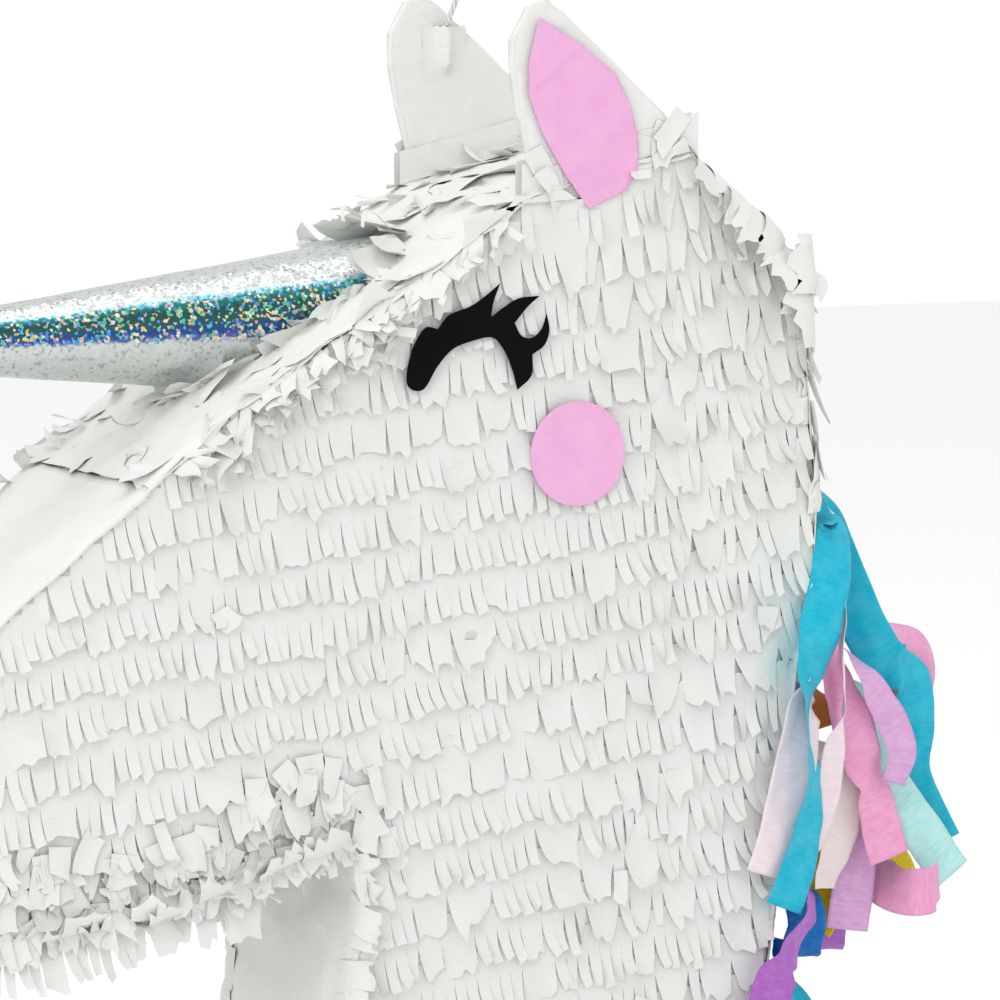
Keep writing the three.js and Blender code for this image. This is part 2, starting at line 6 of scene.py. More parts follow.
import logging
import math
import random
from dataclasses import dataclass, field
from enum import Enum
from typing import Callable, Iterable, Optional, Sequence

import bmesh
import bpy
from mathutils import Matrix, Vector, noise
from mathutils.bvhtree import BVHTree

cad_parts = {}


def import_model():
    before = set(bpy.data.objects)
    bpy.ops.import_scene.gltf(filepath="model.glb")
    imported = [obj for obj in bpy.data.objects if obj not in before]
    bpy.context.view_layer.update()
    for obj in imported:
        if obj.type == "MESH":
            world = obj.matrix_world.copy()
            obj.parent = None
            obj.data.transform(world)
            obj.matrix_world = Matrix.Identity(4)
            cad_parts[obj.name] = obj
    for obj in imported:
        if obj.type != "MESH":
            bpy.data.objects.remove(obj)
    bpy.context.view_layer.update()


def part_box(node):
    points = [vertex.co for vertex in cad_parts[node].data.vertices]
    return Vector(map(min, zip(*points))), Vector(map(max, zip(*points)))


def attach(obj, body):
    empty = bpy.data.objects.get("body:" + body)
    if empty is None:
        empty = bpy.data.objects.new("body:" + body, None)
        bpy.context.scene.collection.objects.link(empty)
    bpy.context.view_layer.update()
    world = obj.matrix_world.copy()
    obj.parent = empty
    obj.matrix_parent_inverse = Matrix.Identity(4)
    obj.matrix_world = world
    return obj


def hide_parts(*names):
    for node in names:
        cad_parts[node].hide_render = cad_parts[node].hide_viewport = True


MM = 0.001
UP = Vector((0, 0, 1))
ACROSS = Vector((0, 1, 0))

log = logging.getLogger("pinata")

Colour = tuple[float, float, float]
Point = tuple[float, float]
Place = Callable[[float, float], Vector]


class Body(Enum):
    """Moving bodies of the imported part."""

    HEAD = "head"
    FLAP = "fill_flap"


class Side(Enum):
    """A side of the head, as the sign of its Y."""

    LEFT = -1
    RIGHT = 1

    @property
    def word(self) -> str:
        """The side as it stands in node names."""
        return self.name.lower()


# ---------------------------------------------------------------------------------------------
# Finishes
# ---------------------------------------------------------------------------------------------


FLOOR_GAP = 0.0012  # tissue ends this far above the floor
OFF_CARD = 0.0012  # a cut finger starts this far off what it is glued on
WIDEST = 0.0655  # tissue stands no further than this from the middle plane
FOREHEAD_EDGE = 0.0532  # nor does the forehead's, which ends at the head's sides


class NodeBench:
    """Adds nodes to one node tree and joins them."""

    def __init__(self, tree: bpy.types.NodeTree) -> None:
        """Works on the given tree."""
        self.tree = tree

    def link(self, source: bpy.types.NodeSocket, target: bpy.types.NodeSocket) -> None:
        """Joins an output to an input."""
        self.tree.links.new(source, target)

    def add(self, kind: str, inputs: Optional[dict] = None, **settings: object) -> bpy.types.Node:
        """Adds a node.

        Args:
            kind: Blender's type name of the node.
            inputs: values or sockets for its inputs, by name or number.
            settings: its other properties.

        Returns:
            The new node.
        """
        node = self.tree.nodes.new(kind)
        for key, value in settings.items():
            setattr(node, key, value)
        for key, value in (inputs or {}).items():
            if isinstance(value, bpy.types.NodeSocket):
                self.link(value, node.inputs[key])
            else:
                node.inputs[key].default_value = value
        return node

    def math(self, operation: str, *operands: object) -> bpy.types.NodeSocket:
        """Does a sum on values and sockets, and returns the result."""
        return self.add("ShaderNodeMath", dict(enumerate(operands)), operation=operation).outputs[0]

    def vector_math(self, operation: str, *operands: object) -> bpy.types.NodeSocket:
        """Does a sum on vectors, and returns the result."""
        return self.add("ShaderNodeVectorMath", dict(enumerate(operands)), operation=operation).outputs[0]

    def mix(self, factor: object, first: object, second: object) -> bpy.types.NodeSocket:
        """Mixes two colours by a factor and returns the colour socket."""
        node = self.add("ShaderNodeMix", data_type="RGBA")
        for number, value in ((0, factor), (6, first), (7, second)):
            if isinstance(value, bpy.types.NodeSocket):
                self.link(value, node.inputs[number])
            else:
                node.inputs[number].default_value = value if number == 0 else (*value[:3], 1.0)
        return node.outputs[2]

    def ramp(self, value: bpy.types.NodeSocket, low: float, high: float) -> bpy.types.NodeSocket:
        """Stretches a value so that low becomes 0 and high becomes 1."""
        inputs = {"Value": value, "From Min": low, "From Max": high}
        return self.add("ShaderNodeMapRange", inputs).outputs["Result"]

    def colours(self, value: bpy.types.NodeSocket, stops: Sequence[tuple[float, Colour]]) -> bpy.types.NodeSocket:
        """Turns a value into the colour between the stops on either side of it."""
        node = self.add("ShaderNodeValToRGB", {"Fac": value})
        elements = node.color_ramp.elements
        for k, (position, colour) in enumerate((stops[0], stops[-1])):
            elements[k].position, elements[k].color = position, (*colour, 1.0)
        for position, colour in stops[1:-1]:
            elements.new(position).color = (*colour, 1.0)
        return node.outputs["Color"]

    def noise(
        self, where: bpy.types.NodeSocket, scale: object, detail: float = 2.0, **more: float
    ) -> bpy.types.NodeSocket:
        """A cloudy value from 0 to 1 over the given coordinates."""
        inputs = {"Vector": where, "Scale": scale, "Detail": detail, **more}
        return self.add("ShaderNodeTexNoise", inputs).outputs["Fac"]

    def bump(self, height: bpy.types.NodeSocket, strength: float, distance: float) -> bpy.types.NodeSocket:
        """The normal of a surface with this height on it."""
        inputs = {"Height": height, "Strength": strength, "Distance": distance}
        return self.add("ShaderNodeBump", inputs).outputs["Normal"]


def new_group(name: str, inputs: dict[str, tuple[str, float]], outputs: dict[str, str]) -> tuple:
    """Starts a shader node group.

    Args:
        name: the group's name.
        inputs: socket type and default of each input.
        outputs: socket type of each output.

    Returns:
        The group, its bench, its input node and its output node.
    """
    group = bpy.data.node_groups.new(name, "ShaderNodeTree")
    for socket_name, (kind, default) in inputs.items():
        socket = group.interface.new_socket(socket_name, in_out="INPUT", socket_type=kind)
        if kind == "NodeSocketFloat":
            socket.default_value = default
    for socket_name, kind in outputs.items():
        group.interface.new_socket(socket_name, in_out="OUTPUT", socket_type=kind)
    bench = NodeBench(group)
    return group, bench, bench.add("NodeGroupInput"), bench.add("NodeGroupOutput")


def paper_grain_group() -> bpy.types.NodeTree:
    """A paper's cloudy tone, its fibres and its soft creases, from object coordinates."""
    group, bench, source, sink = new_group(
        "paper_grain",
        {
            "Vector": ("NodeSocketVector", 0.0),
            "Cloud Scale": ("NodeSocketFloat", 60.0),
            "Crease Scale": ("NodeSocketFloat", 120.0),
            "Crease Depth": ("NodeSocketFloat", 0.3),
        },
        {"Cloud": "NodeSocketFloat", "Fibre": "NodeSocketFloat", "Normal": "NodeSocketVector"},
    )
    where = source.outputs["Vector"]
    cloud = bench.noise(where, source.outputs["Cloud Scale"], 3.0)
    fibre = bench.noise(where, 1900.0)
    crease = bench.add(
        "ShaderNodeTexNoise",
        {"Vector": where, "Scale": source.outputs["Crease Scale"], "Detail": 4.0, "Distortion": 0.8},
        noise_type="RIDGED_MULTIFRACTAL",
    ).outputs["Fac"]
    height = bench.math("MULTIPLY_ADD", crease, source.outputs["Crease Depth"], fibre)
    bench.link(bench.ramp(cloud, 0.35, 0.7), sink.inputs["Cloud"])
    bench.link(bench.ramp(fibre, 0.3, 0.75), sink.inputs["Fibre"])
    bench.link(bench.bump(height, 0.45, 0.0005), sink.inputs["Normal"])
    return group


def crepe_crinkle_group() -> bpy.types.NodeTree:
    """The fine crosswise crinkle of crepe paper and the stains of its dye, from the strip's own lengths."""
    group, bench, source, sink = new_group(
        "crepe_crinkle",
        {"Vector": ("NodeSocketVector", 0.0), "Stretch": ("NodeSocketVector", 0.0)},
        {"Crinkle": "NodeSocketFloat", "Stain": "NodeSocketFloat", "Normal": "NodeSocketVector"},
    )
    where = source.outputs["Vector"]
    stretched = bench.vector_math("MULTIPLY", where, source.outputs["Stretch"])
    crinkle = bench.noise(stretched, 1.0, 4.0, Roughness=0.62)
    bench.link(bench.ramp(crinkle, 0.3, 0.7), sink.inputs["Crinkle"])
    bench.link(bench.ramp(bench.noise(where, 130.0, 3.0), 0.35, 0.7), sink.inputs["Stain"])
    bench.link(bench.bump(crinkle, 0.5, 0.0008), sink.inputs["Normal"])
    return group


def shared_group(bench: NodeBench, name: str, make: Callable[[], bpy.types.NodeTree]) -> bpy.types.Node:
    """Places the node group of that name, which is made the first time."""
    return bench.add("ShaderNodeGroup", node_tree=bpy.data.node_groups.get(name) or make())


def start_material(
    name: str, roughness: float, sockets: Optional[dict[str, float]] = None
) -> tuple[bpy.types.Material, NodeBench, bpy.types.Node, bpy.types.Node]:
    """Starts a material.

    Args:
        name: the material's name.
        roughness: how matt it is.
        sockets: other values for its main shader.

    Returns:
        The material, its bench, its main shader and its texture coordinates.
    """
    material = bpy.data.materials.new(name)
    material.use_nodes = True
    bench = NodeBench(material.node_tree)
    shader = material.node_tree.nodes["Principled BSDF"]
    for socket, value in {"Roughness": roughness, **(sockets or {})}.items():
        shader.inputs[socket].default_value = value
    return material, bench, shader, bench.add("ShaderNodeTexCoord")


@dataclass(frozen=True)
class PaperFinish:
    """Tissue, coloured paper or card.

    Attributes:
        name: the material's name.
        colour: its clean colour.
        shade: the tone of its clouds and glue stains.
        stain: how much of the shade shows.
        roughness: how matt it is.
        cloud_scale: clouds for each metre.
        crease_scale: creases for each metre.
        crease_depth: how deep they are against the fibres.
        shine: how much light its surface throws back.
        dyed: whether the mane's cyan has bled into it beside the mane.
        dye: colour of that stain.
    """

    name: str
    colour: Colour
    shade: Colour
    stain: float = 0.5
    roughness: float = 0.85
    cloud_scale: float = 60.0
    crease_scale: float = 120.0
    crease_depth: float = 0.3
    shine: float = 0.25
    dyed: bool = False
    dye: Colour = (0.22, 0.7, 0.8)

    @staticmethod
    def bleed(bench: NodeBench, coordinates: bpy.types.Node) -> bpy.types.NodeSocket:
        """A mask of the dye beside the mane: near the crest, between its lowest and highest stain."""
        where = coordinates.outputs["Object"]
        place = bench.add("ShaderNodeSeparateXYZ", {0: where})
        near = bench.ramp(place.outputs["X"], 0.084, 0.108)
        above = bench.ramp(place.outputs["Z"], 0.1, 0.17)
        below = bench.ramp(place.outputs["Z"], 0.24, 0.2)
        blot = bench.ramp(bench.noise(where, 55.0), 0.3, 0.75)
        patchy = bench.math("MULTIPLY", bench.math("MULTIPLY", above, below), blot)
        return bench.math("MULTIPLY", patchy, near)

    def build(self) -> bpy.types.Material:
        """Makes the material."""
        material, bench, shader, coordinates = start_material(
            self.name, self.roughness, {"Specular IOR Level": self.shine}
        )
        grain = shared_group(bench, "paper_grain", paper_grain_group)
        bench.link(coordinates.outputs["Object"], grain.inputs["Vector"])
        grain.inputs["Cloud Scale"].default_value = self.cloud_scale
        grain.inputs["Crease Scale"].default_value = self.crease_scale
        grain.inputs["Crease Depth"].default_value = self.crease_depth
        toned = bench.mix(bench.math("MULTIPLY", grain.outputs["Cloud"], self.stain), self.colour, self.shade)
        if self.dyed:
            toned = bench.mix(self.bleed(bench, coordinates), toned, self.dye)
        lighter = tuple(min(1.0, part * 1.04) for part in self.colour)
        fleck = bench.math("MULTIPLY", grain.outputs["Fibre"], 0.3)
        bench.link(bench.mix(fleck, toned, lighter), shader.inputs["Base Color"])
        bench.link(grain.outputs["Normal"], shader.inputs["Normal"])
        return material


@dataclass(frozen=True)
class CrepeFinish:
    """Dyed crepe paper.

    Attributes:
        name: the material's name.
        colour: its colour on the ridges.
        deep: painted shade, its darker colour in the valleys of the crinkle.
        tint: a second dye that shows in stains.
        tint_share: how much of it shows.
        follows: the texture coordinates that its crinkle follows.
        stretch: crinkles for each metre along each of them.
    """

    name: str
    colour: Colour
    deep: Colour
    tint: Colour
    tint_share: float = 0.35
    follows: str = "UV"
    stretch: tuple[float, float, float] = (170.0, 900.0, 1.0)

    def build(self) -> bpy.types.Material:
        """Makes the material."""
        sockets = {"Specular IOR Level": 0.2, "Sheen Weight": 0.15}
        material, bench, shader, coordinates = start_material(self.name, 0.8, sockets)
        crinkle = shared_group(bench, "crepe_crinkle", crepe_crinkle_group)
        bench.link(coordinates.outputs[self.follows], crinkle.inputs["Vector"])
        crinkle.inputs["Stretch"].default_value = self.stretch
        # Painted shade: the crinkle's valleys take the darker colour.
        ridged = bench.mix(crinkle.outputs["Crinkle"], self.deep, self.colour)
        share = bench.math("MULTIPLY", crinkle.outputs["Stain"], self.tint_share)
        bench.link(bench.mix(share, ridged, self.tint), shader.inputs["Base Color"])
        bench.link(crinkle.outputs["Normal"], shader.inputs["Normal"])
        return material


@dataclass(frozen=True)
class FoilFinish:
    """Silver foil pressed with small mirrors that break the light into colours, with its reflection painted in: a dark
    band round the horn's sides, a painted highlight along its upper edge and painted highlights of colour in it.

    Attributes:
        name: the material's name.
        fleck: painted shade, a darker grey on a random share of the mirrors, for those that face away from the light.
        mirror_size: size of a mirror.
        lean: how far the mirrors lean.
        split: painted reflection across the band, by share of the way round: a light painted highlight at its upper
            edge, dark reflected tones inside, silver beyond.
        glints: colours painted on the mirrors that flash in that band, as painted highlights.
    """

    name: str
    fleck: Colour
    mirror_size: float
    lean: float
    split: tuple[tuple[float, Colour], ...]
    glints: tuple[tuple[float, Colour], ...]

    def build(self) -> bpy.types.Material:
        """Makes the material."""
        material, bench, shader, coordinates = start_material(self.name, 0.3, {"Metallic": 0.75})
        where = coordinates.outputs["Object"]
        scale = 1.0 / self.mirror_size
        cells = bench.add("ShaderNodeTexVoronoi", {"Vector": where, "Scale": scale, "Randomness": 0.8})
        hue, edge, chance = bench.add("ShaderNodeSeparateColor", {"Color": cells.outputs["Color"]}).outputs
        # Painted reflection: a share across a band round the horn, set by the angle from the top, picks the foil's
        # colour.
        band = bench.add("ShaderNodeAttribute", attribute_name="glow").outputs["Fac"]
        shifted = bench.math("MULTIPLY_ADD", bench.noise(where, 45.0, 3.0), 0.1, band)
        ragged = bench.math("MULTIPLY_ADD", edge, 0.1, shifted)
        # Painted reflection: silver, a light painted highlight, dark reflected tones, then silver again.
        sheen = bench.colours(bench.math("MULTIPLY", ragged, 0.8), self.split)
        # Painted highlights: mirrors in the band that flash with colour are painted in the base colour.
        painted_glint_colour = bench.colours(hue, self.glints)
        inside = bench.math("COMPARE", band, 0.55, 0.33)
        painted_glint = bench.math("MULTIPLY", bench.ramp(chance, 0.66, 0.7), inside)
        # Painted shade: a random share of the mirrors are darker, as if facing away from the light.
        grey = bench.mix(bench.ramp(chance, 0.78, 0.95), sheen, self.fleck)
        bench.link(bench.mix(painted_glint, grey, painted_glint_colour), shader.inputs["Base Color"])
        leaning = bench.vector_math("SUBTRACT", cells.outputs["Color"], (0.5, 0.5, 0.5))
        scaled = bench.add("ShaderNodeVectorMath", {0: leaning}, operation="SCALE")
        scaled.inputs["Scale"].default_value = self.lean
        normal = bench.add("ShaderNodeNewGeometry").outputs["Normal"]
        tilted = bench.vector_math("ADD", normal, scaled.outputs[0])
        bench.link(bench.vector_math("NORMALIZE", tilted), shader.inputs["Normal"])
        return material


@dataclass(frozen=True)
class CardFinish:
    """Brown corrugated card, with its flutes showing faintly through the liner.

    Attributes:
        name: the material's name.
        colour: its liner.
        flute: tone over a flute.
        speck: darker specks of the pulp.
        flute_pitch: distance between flutes.
    """

    name: str
    colour: Colour
    flute: Colour
    speck: Colour
    flute_pitch: float

    def build(self) -> bpy.types.Material:
        """Makes the material."""
        material, bench, shader, coordinates = start_material(self.name, 0.9)
        where = coordinates.outputs["Object"]
        waves = bench.add(
            "ShaderNodeTexWave",
            {"Vector": where, "Scale": 0.314 / self.flute_pitch, "Distortion": 0.4, "Detail": 1.0},
            bands_direction="X",
        ).outputs["Fac"]
        specks = bench.noise(where, 800.0, 4.0)
        banded = bench.mix(waves, self.colour, self.flute)
        bench.link(bench.mix(bench.ramp(specks, 0.55, 0.8), banded, self.speck), shader.inputs["Base Color"])
        bench.link(bench.bump(bench.math("ADD", waves, specks), 0.35, 0.0004), shader.inputs["Normal"])
        return material


@dataclass(frozen=True)
class CordFinish:
    """Twisted white cotton cord, with its strands winding round it.

    Attributes:
        name: the material's name.
        colour: the strands.
        groove: painted shade between the strands.
        winding: turns of the strands for each unit of the cord's own coordinates.
    """

    name: str
    colour: Colour
    groove: Colour
    winding: tuple[float, float, float]

    def build(self) -> bpy.types.Material:
        """Makes the material."""
        material, bench, shader, coordinates = start_material(self.name, 0.85)
        placed = {"Vector": coordinates.outputs["UV"], "Scale": self.winding}
        where = bench.add("ShaderNodeMapping", placed).outputs[0]
        strands = bench.add(
            "ShaderNodeTexWave",
            {"Vector": where, "Scale": 1.0, "Distortion": 0.3},
            bands_direction="DIAGONAL",
        ).outputs["Fac"]
        # Painted shade in the grooves between the strands.
        bench.link(bench.mix(strands, self.groove, self.colour), shader.inputs["Base Color"])
        bench.link(bench.bump(strands, 0.8, 0.0004), shader.inputs["Normal"])
        return material


TISSUE = PaperFinish("cut_tissue", (0.765, 0.778, 0.755), (0.71, 0.72, 0.68), stain=0.4, dyed=True)
SMOOTH_TISSUE = PaperFinish(
    "smooth_tissue",
    (0.785, 0.795, 0.77),
    (0.72, 0.72, 0.67),
    cloud_scale=35.0,
    crease_scale=60.0,
    crease_depth=6.0,
)
EYE_PAPER = PaperFinish("black_paper", (0.004, 0.004, 0.004), (0.006, 0.005, 0.006), roughness=0.6, shine=0.04)
PINK_PAPER = PaperFinish(
    "pink_paper",
    (0.8, 0.4, 0.65),
    (0.82, 0.47, 0.71),
    stain=0.8,
    cloud_scale=90.0,
    crease_scale=110.0,
    crease_depth=2.5,
)
SILVER = (0.6, 0.63, 0.615)
FOIL = FoilFinish(
    "mirror_foil",
    # Painted shade of the mirrors that face away from the light.
    fleck=(0.38, 0.41, 0.4),
    mirror_size=0.00105,
    lean=0.22,
    # Painted reflection: silver above, a light painted highlight, dark reflected blues and greens in the band, silver
    # below.
    split=(
        (0.17, SILVER), (0.18, (0.85, 0.87, 0.87)), (0.22, (0.8, 0.86, 0.86)), (0.25, (0.2, 0.7, 0.85)),
        (0.29, (0.04, 0.24, 0.27)), (0.4, (0.02, 0.09, 0.07)), (0.55, (0.03, 0.11, 0.12)),
        (0.66, (0.02, 0.07, 0.28)), (0.74, (0.08, 0.12, 0.36)), (0.8, SILVER), (0.9, SILVER),
    ),
    # Painted highlights of colour for the flashing mirrors in the band.
    glints=(
        (0.0, (0.75, 0.6, 0.2)), (0.18, (0.85, 0.82, 0.45)), (0.27, (0.7, 0.33, 0.15)), (0.36, (0.8, 0.82, 0.78)),
        (0.45, (0.6, 0.35, 0.5)), (0.58, (0.1, 0.55, 0.25)), (0.74, (0.1, 0.6, 0.6)), (0.88, (0.08, 0.3, 0.75)),
        (1.0, (0.1, 0.3, 0.9)),
    ),
)
CARD = CardFinish("kraft_card", (0.58, 0.42, 0.26), (0.5, 0.35, 0.2), (0.45, 0.33, 0.2), 0.0045)
# Cotton cord with painted shade between its strands.
CORD = CordFinish("cotton_cord", (0.9, 0.9, 0.88), (0.55, 0.54, 0.5), (26.0, 2.0, 1.0))

# Each crepe's colour, its painted valley shade and its stain tint.
CREPES = {
    "cyan": CrepeFinish("crepe_cyan", (0.01, 0.5, 0.66), (0.0, 0.38, 0.58), (0.12, 0.6, 0.72)),
    "pale": CrepeFinish("crepe_pale", (0.88, 0.76, 0.79), (0.82, 0.66, 0.71), (0.9, 0.82, 0.84)),
    "cream": CrepeFinish("crepe_cream", (0.87, 0.78, 0.75), (0.8, 0.68, 0.65), (0.9, 0.82, 0.82)),
    "pink": CrepeFinish("crepe_pink", (0.86, 0.4, 0.6), (0.76, 0.28, 0.5), (0.85, 0.5, 0.72)),
    "lilac": CrepeFinish("crepe_lilac", (0.7, 0.42, 0.68), (0.58, 0.3, 0.56), (0.78, 0.5, 0.76)),
    "mint": CrepeFinish("crepe_mint", (0.5, 0.82, 0.78), (0.32, 0.68, 0.66), (0.65, 0.88, 0.85)),
    "yellow": CrepeFinish("crepe_yellow", (0.75, 0.58, 0.01), (0.6, 0.43, 0.0), (0.8, 0.66, 0.05)),
    "blue": CrepeFinish("crepe_blue", (0.01, 0.16, 0.5), (0.0, 0.09, 0.36), (0.02, 0.25, 0.6)),
    "violet": CrepeFinish("crepe_violet", (0.45, 0.15, 0.55), (0.32, 0.08, 0.42), (0.55, 0.25, 0.62)),
    "orange": CrepeFinish("crepe_orange", (0.62, 0.24, 0.04), (0.45, 0.15, 0.02), (0.7, 0.35, 0.08)),
}


STRIP_CREPE = CrepeFinish(
    "crepe_cyan_glued", (0.01, 0.5, 0.66), (0.0, 0.38, 0.58), (0.12, 0.6, 0.72), 0.6, "Object", (300.0, 170.0, 700.0)
)


class Shelf:
    """Keeps one material for each finish."""

    def __init__(self) -> None:
        """Starts empty."""
        self.made: dict[str, bpy.types.Material] = {}

    def take(self, finish: object) -> bpy.types.Material:
        """The finish's material, made the first time."""
        if finish.name not in self.made:
            self.made[finish.name] = finish.build()
        return self.made[finish.name]


# ---------------------------------------------------------------------------------------------
# Paper, strip by strip
# ---------------------------------------------------------------------------------------------


class Workbench:
    """Collects sheets in one mesh and finishes it as a named piece."""

    shelf = Shelf()

    def __init__(self) -> None:
        """Starts with an empty mesh."""
        self.mesh = bmesh.new()
        self.uv = self.mesh.loops.layers.uv.new("strip")

    def lay(self, columns: int, steps: int, size: Point, place: Place) -> None:
        """Lays a grid of paper.

        Args:
            columns: quads across it.
            steps: quads along it.
            size: its flat width and length, for its own coordinates.
            place: where the point at a share across (-0.5 to 0.5) and along (0 to 1) comes to lie.
        """
        grid = bmesh.ops.create_grid(self.mesh, x_segments=columns, y_segments=steps, size=0.5)
        for vertex in grid["verts"]:
            across, along = vertex.co.x, 0.5 - vertex.co.y
            for loop in vertex.link_loops:
                loop[self.uv].uv = (across * size[0], along * size[1])
            vertex.co = place(across, along)

    def finish(
        self,
        name: str,
        finish: object,
        slot: str,
        replaces: Iterable[str] = (),
        thickness: float = 0.0,
        body: Body = Body.HEAD,
    ) -> bpy.types.Object:
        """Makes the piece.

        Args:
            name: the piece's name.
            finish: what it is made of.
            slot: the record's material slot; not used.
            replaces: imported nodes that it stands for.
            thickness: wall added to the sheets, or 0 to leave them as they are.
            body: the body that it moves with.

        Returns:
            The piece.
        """
        data = bpy.data.meshes.new(name)
        self.mesh.to_mesh(data)
        self.mesh.free()
        piece = bpy.data.objects.new(name, data)
        bpy.context.scene.collection.objects.link(piece)
        data.shade_smooth()
        data.materials.append(self.shelf.take(finish))
        if thickness:
            wall = piece.modifiers.new("wall", "SOLIDIFY")
            wall.thickness = thickness
            wall.offset = 0.0
        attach(piece, body.value)
        if replaces:
            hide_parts(*replaces)
        log.info("%s: %d faces", name, len(data.polygons))
        return piece


@dataclass
class Strip:
    """A cut finger or flap of paper that starts somewhere and bends as it goes.

    Attributes:
        origin: middle of its upper end.
        down: the way it starts out.
        side: the way its width points.
        out: away from the surface that it lies on.
        length: from end to end.
        width: at its upper end.
        lean: start angle towards its side, in radians.
        bend: change of that angle along it.
        lift: start angle away from the surface.
        curl: change of that angle along it, mostly near the tip.
        twist: roll about its own line at the tip.
        taper: share of its width lost at the tip.
        slant: how much longer one corner of the tip is, as a share of its width.
        bow: how far its middle stands up from its edges, as a share of its width.
        root: share of its length that is glued down flat.
        ragged: how far its tip is torn.
        steps: quads along it.
        columns: quads across it.
    """

    origin: Vector
    down: Vector
    side: Vector
    out: Vector
    length: float
    width: float
    lean: float = 0.0
    bend: float = 0.0
    lift: float = 0.06
    curl: float = 0.0
    twist: float = 0.0
    taper: float = 0.1
    slant: float = 0.0
    bow: float = 0.08
    root: float = 0.0
    ragged: float = 0.0
    steps: int = 7
    columns: int = 2

    def stations(self) -> list[tuple[Vector, Vector, Vector]]:
        """Its middle line with the directions of its width and its face."""
        found = []
        spot = self.origin.copy()
        glued = 1 if self.root else 0
        if glued:
            found.append((spot.copy(), self.side, self.side.cross(self.down)))
            spot += self.down * (self.length * self.root)
        for k in range(self.steps + 1 - glued):
            share = k / (self.steps - glued)
            turn = self.lean + self.bend * share
            pitch = self.lift + self.curl * share * share
            roll = self.twist * share**1.4
            flat = self.down * math.cos(turn) + self.side * math.sin(turn)
            across = self.side * math.cos(turn) - self.down * math.sin(turn)
            forward = flat * math.cos(pitch) + self.out * math.sin(pitch)
            face = self.out * math.cos(pitch) - flat * math.sin(pitch)
            width = across * math.cos(roll) + face * math.sin(roll)
            found.append((spot.copy(), width, width.cross(forward)))
            spot += forward * (self.length * (1 - self.root) / (self.steps - glued))
        return found

    def lay(self, bench: Workbench, limit: Optional[Callable[[Vector], Vector]] = None) -> None:
        """Adds it to a mesh.

        Args:
            bench: where it goes.
            limit: moves a point that may not stay where it is.
        """
        line = self.stations()
        glued = 1 if self.root else 0

        def place(across: float, along: float) -> Vector:
            """A point of the strip."""
            k = round(along * self.steps)
            spot, width, face = line[k]
            free = max(0.0, k - glued) / (self.steps - glued)
            span = self.width * (1.0 - self.taper * free)
            reach = self.slant * self.width * across * free * free
            rise = self.bow * self.width * (0.25 - across * across) * 4.0 * min(1.0, 2.5 * free)
            rough = self.ragged * sway(self.origin.x * 900, across * 9, self.origin.z * 900) * free**3
            made = spot + width * (across * span) + face.cross(width) * (reach + rough) + face * rise
            if self.columns > 2:
                made += face * (0.0006 * sway(*(made * 210)) * min(1.0, 3 * free))
            return limit(made) if limit else made

        bench.lay(self.columns, self.steps, (self.width, self.length), place)


def sway(*place: float) -> float:
    """Smooth noise from -1 to 1 at up to three coordinates."""
    return noise.noise(Vector([*place, 0.0, 0.0][:3]))


def through(corners: Sequence[Vector], share: float) -> Vector:
    """A point on the centripetal curve between the middle two of four points."""
    marks = [0.0]
    for a, b in zip(corners, corners[1:]):
        marks.append(marks[-1] + max(1e-6, (b - a).length ** 0.5))
    at = marks[1] + (marks[2] - marks[1]) * share

    def blend(a: Vector, b: Vector, start: float, end: float) -> Vector:
        """The point between two others at the wanted mark."""
        return a * ((end - at) / (end - start)) + b * ((at - start) / (end - start))

    p = [blend(corners[i], corners[i + 1], marks[i], marks[i + 1]) for i in range(3)]
    q = [blend(p[i], p[i + 1], marks[i], marks[i + 2]) for i in range(2)]
    return blend(q[0], q[1], marks[1], marks[2])


# ---------------------------------------------------------------------------------------------
# The head's outline
# ---------------------------------------------------------------------------------------------


def arc(centre: Point, radius: float, start: float, end: float, steps: int) -> list[Point]:
    """Points on a circle from one angle to another, in degrees."""
    angles = [math.radians(start + (end - start) * i / steps) for i in range(steps + 1)]
    return [(centre[0] + radius * math.cos(a), centre[1] + radius * math.sin(a)) for a in angles]


NOSE_BROW = (-0.150, 0.265)
POLL = (0.058, 0.375)
POLL_CORNER = (0.103, 0.335)
MANE_TOP = (0.110, 0.257)
THROAT = (-0.084, 0.1385)
MUZZLE = arc((-0.228, 0.151), 0.041, 128, 265, 16)

RUNS: dict[str, list[Point]] = {
    "base": [(-0.083, 0.0), (0.078, 0.0)],
    "crest_lower": [(0.078, 0.0), (0.0935, 0.103), (0.099, 0.162), (0.103, 0.197), (0.109, 0.229), MANE_TOP],
    "crest_upper": [MANE_TOP, (0.107, 0.278), POLL_CORNER],
    "poll": [POLL_CORNER, POLL],
    "forehead": [POLL, (-0.004, 0.3605), (-0.118, 0.290), NOSE_BROW],
    "nose_bridge": [NOSE_BROW, MUZZLE[0]],
    "muzzle": MUZZLE,
    "jaw": [MUZZLE[-1], (-0.211, 0.113), (-0.148, 0.119), (-0.125, 0.125), (-0.101, 0.134), THROAT],
    "neck_front": [THROAT, (-0.076, 0.137), (-0.0705, 0.131), (-0.069, 0.122), (-0.075, 0.082), (-0.083, 0.0)],
}


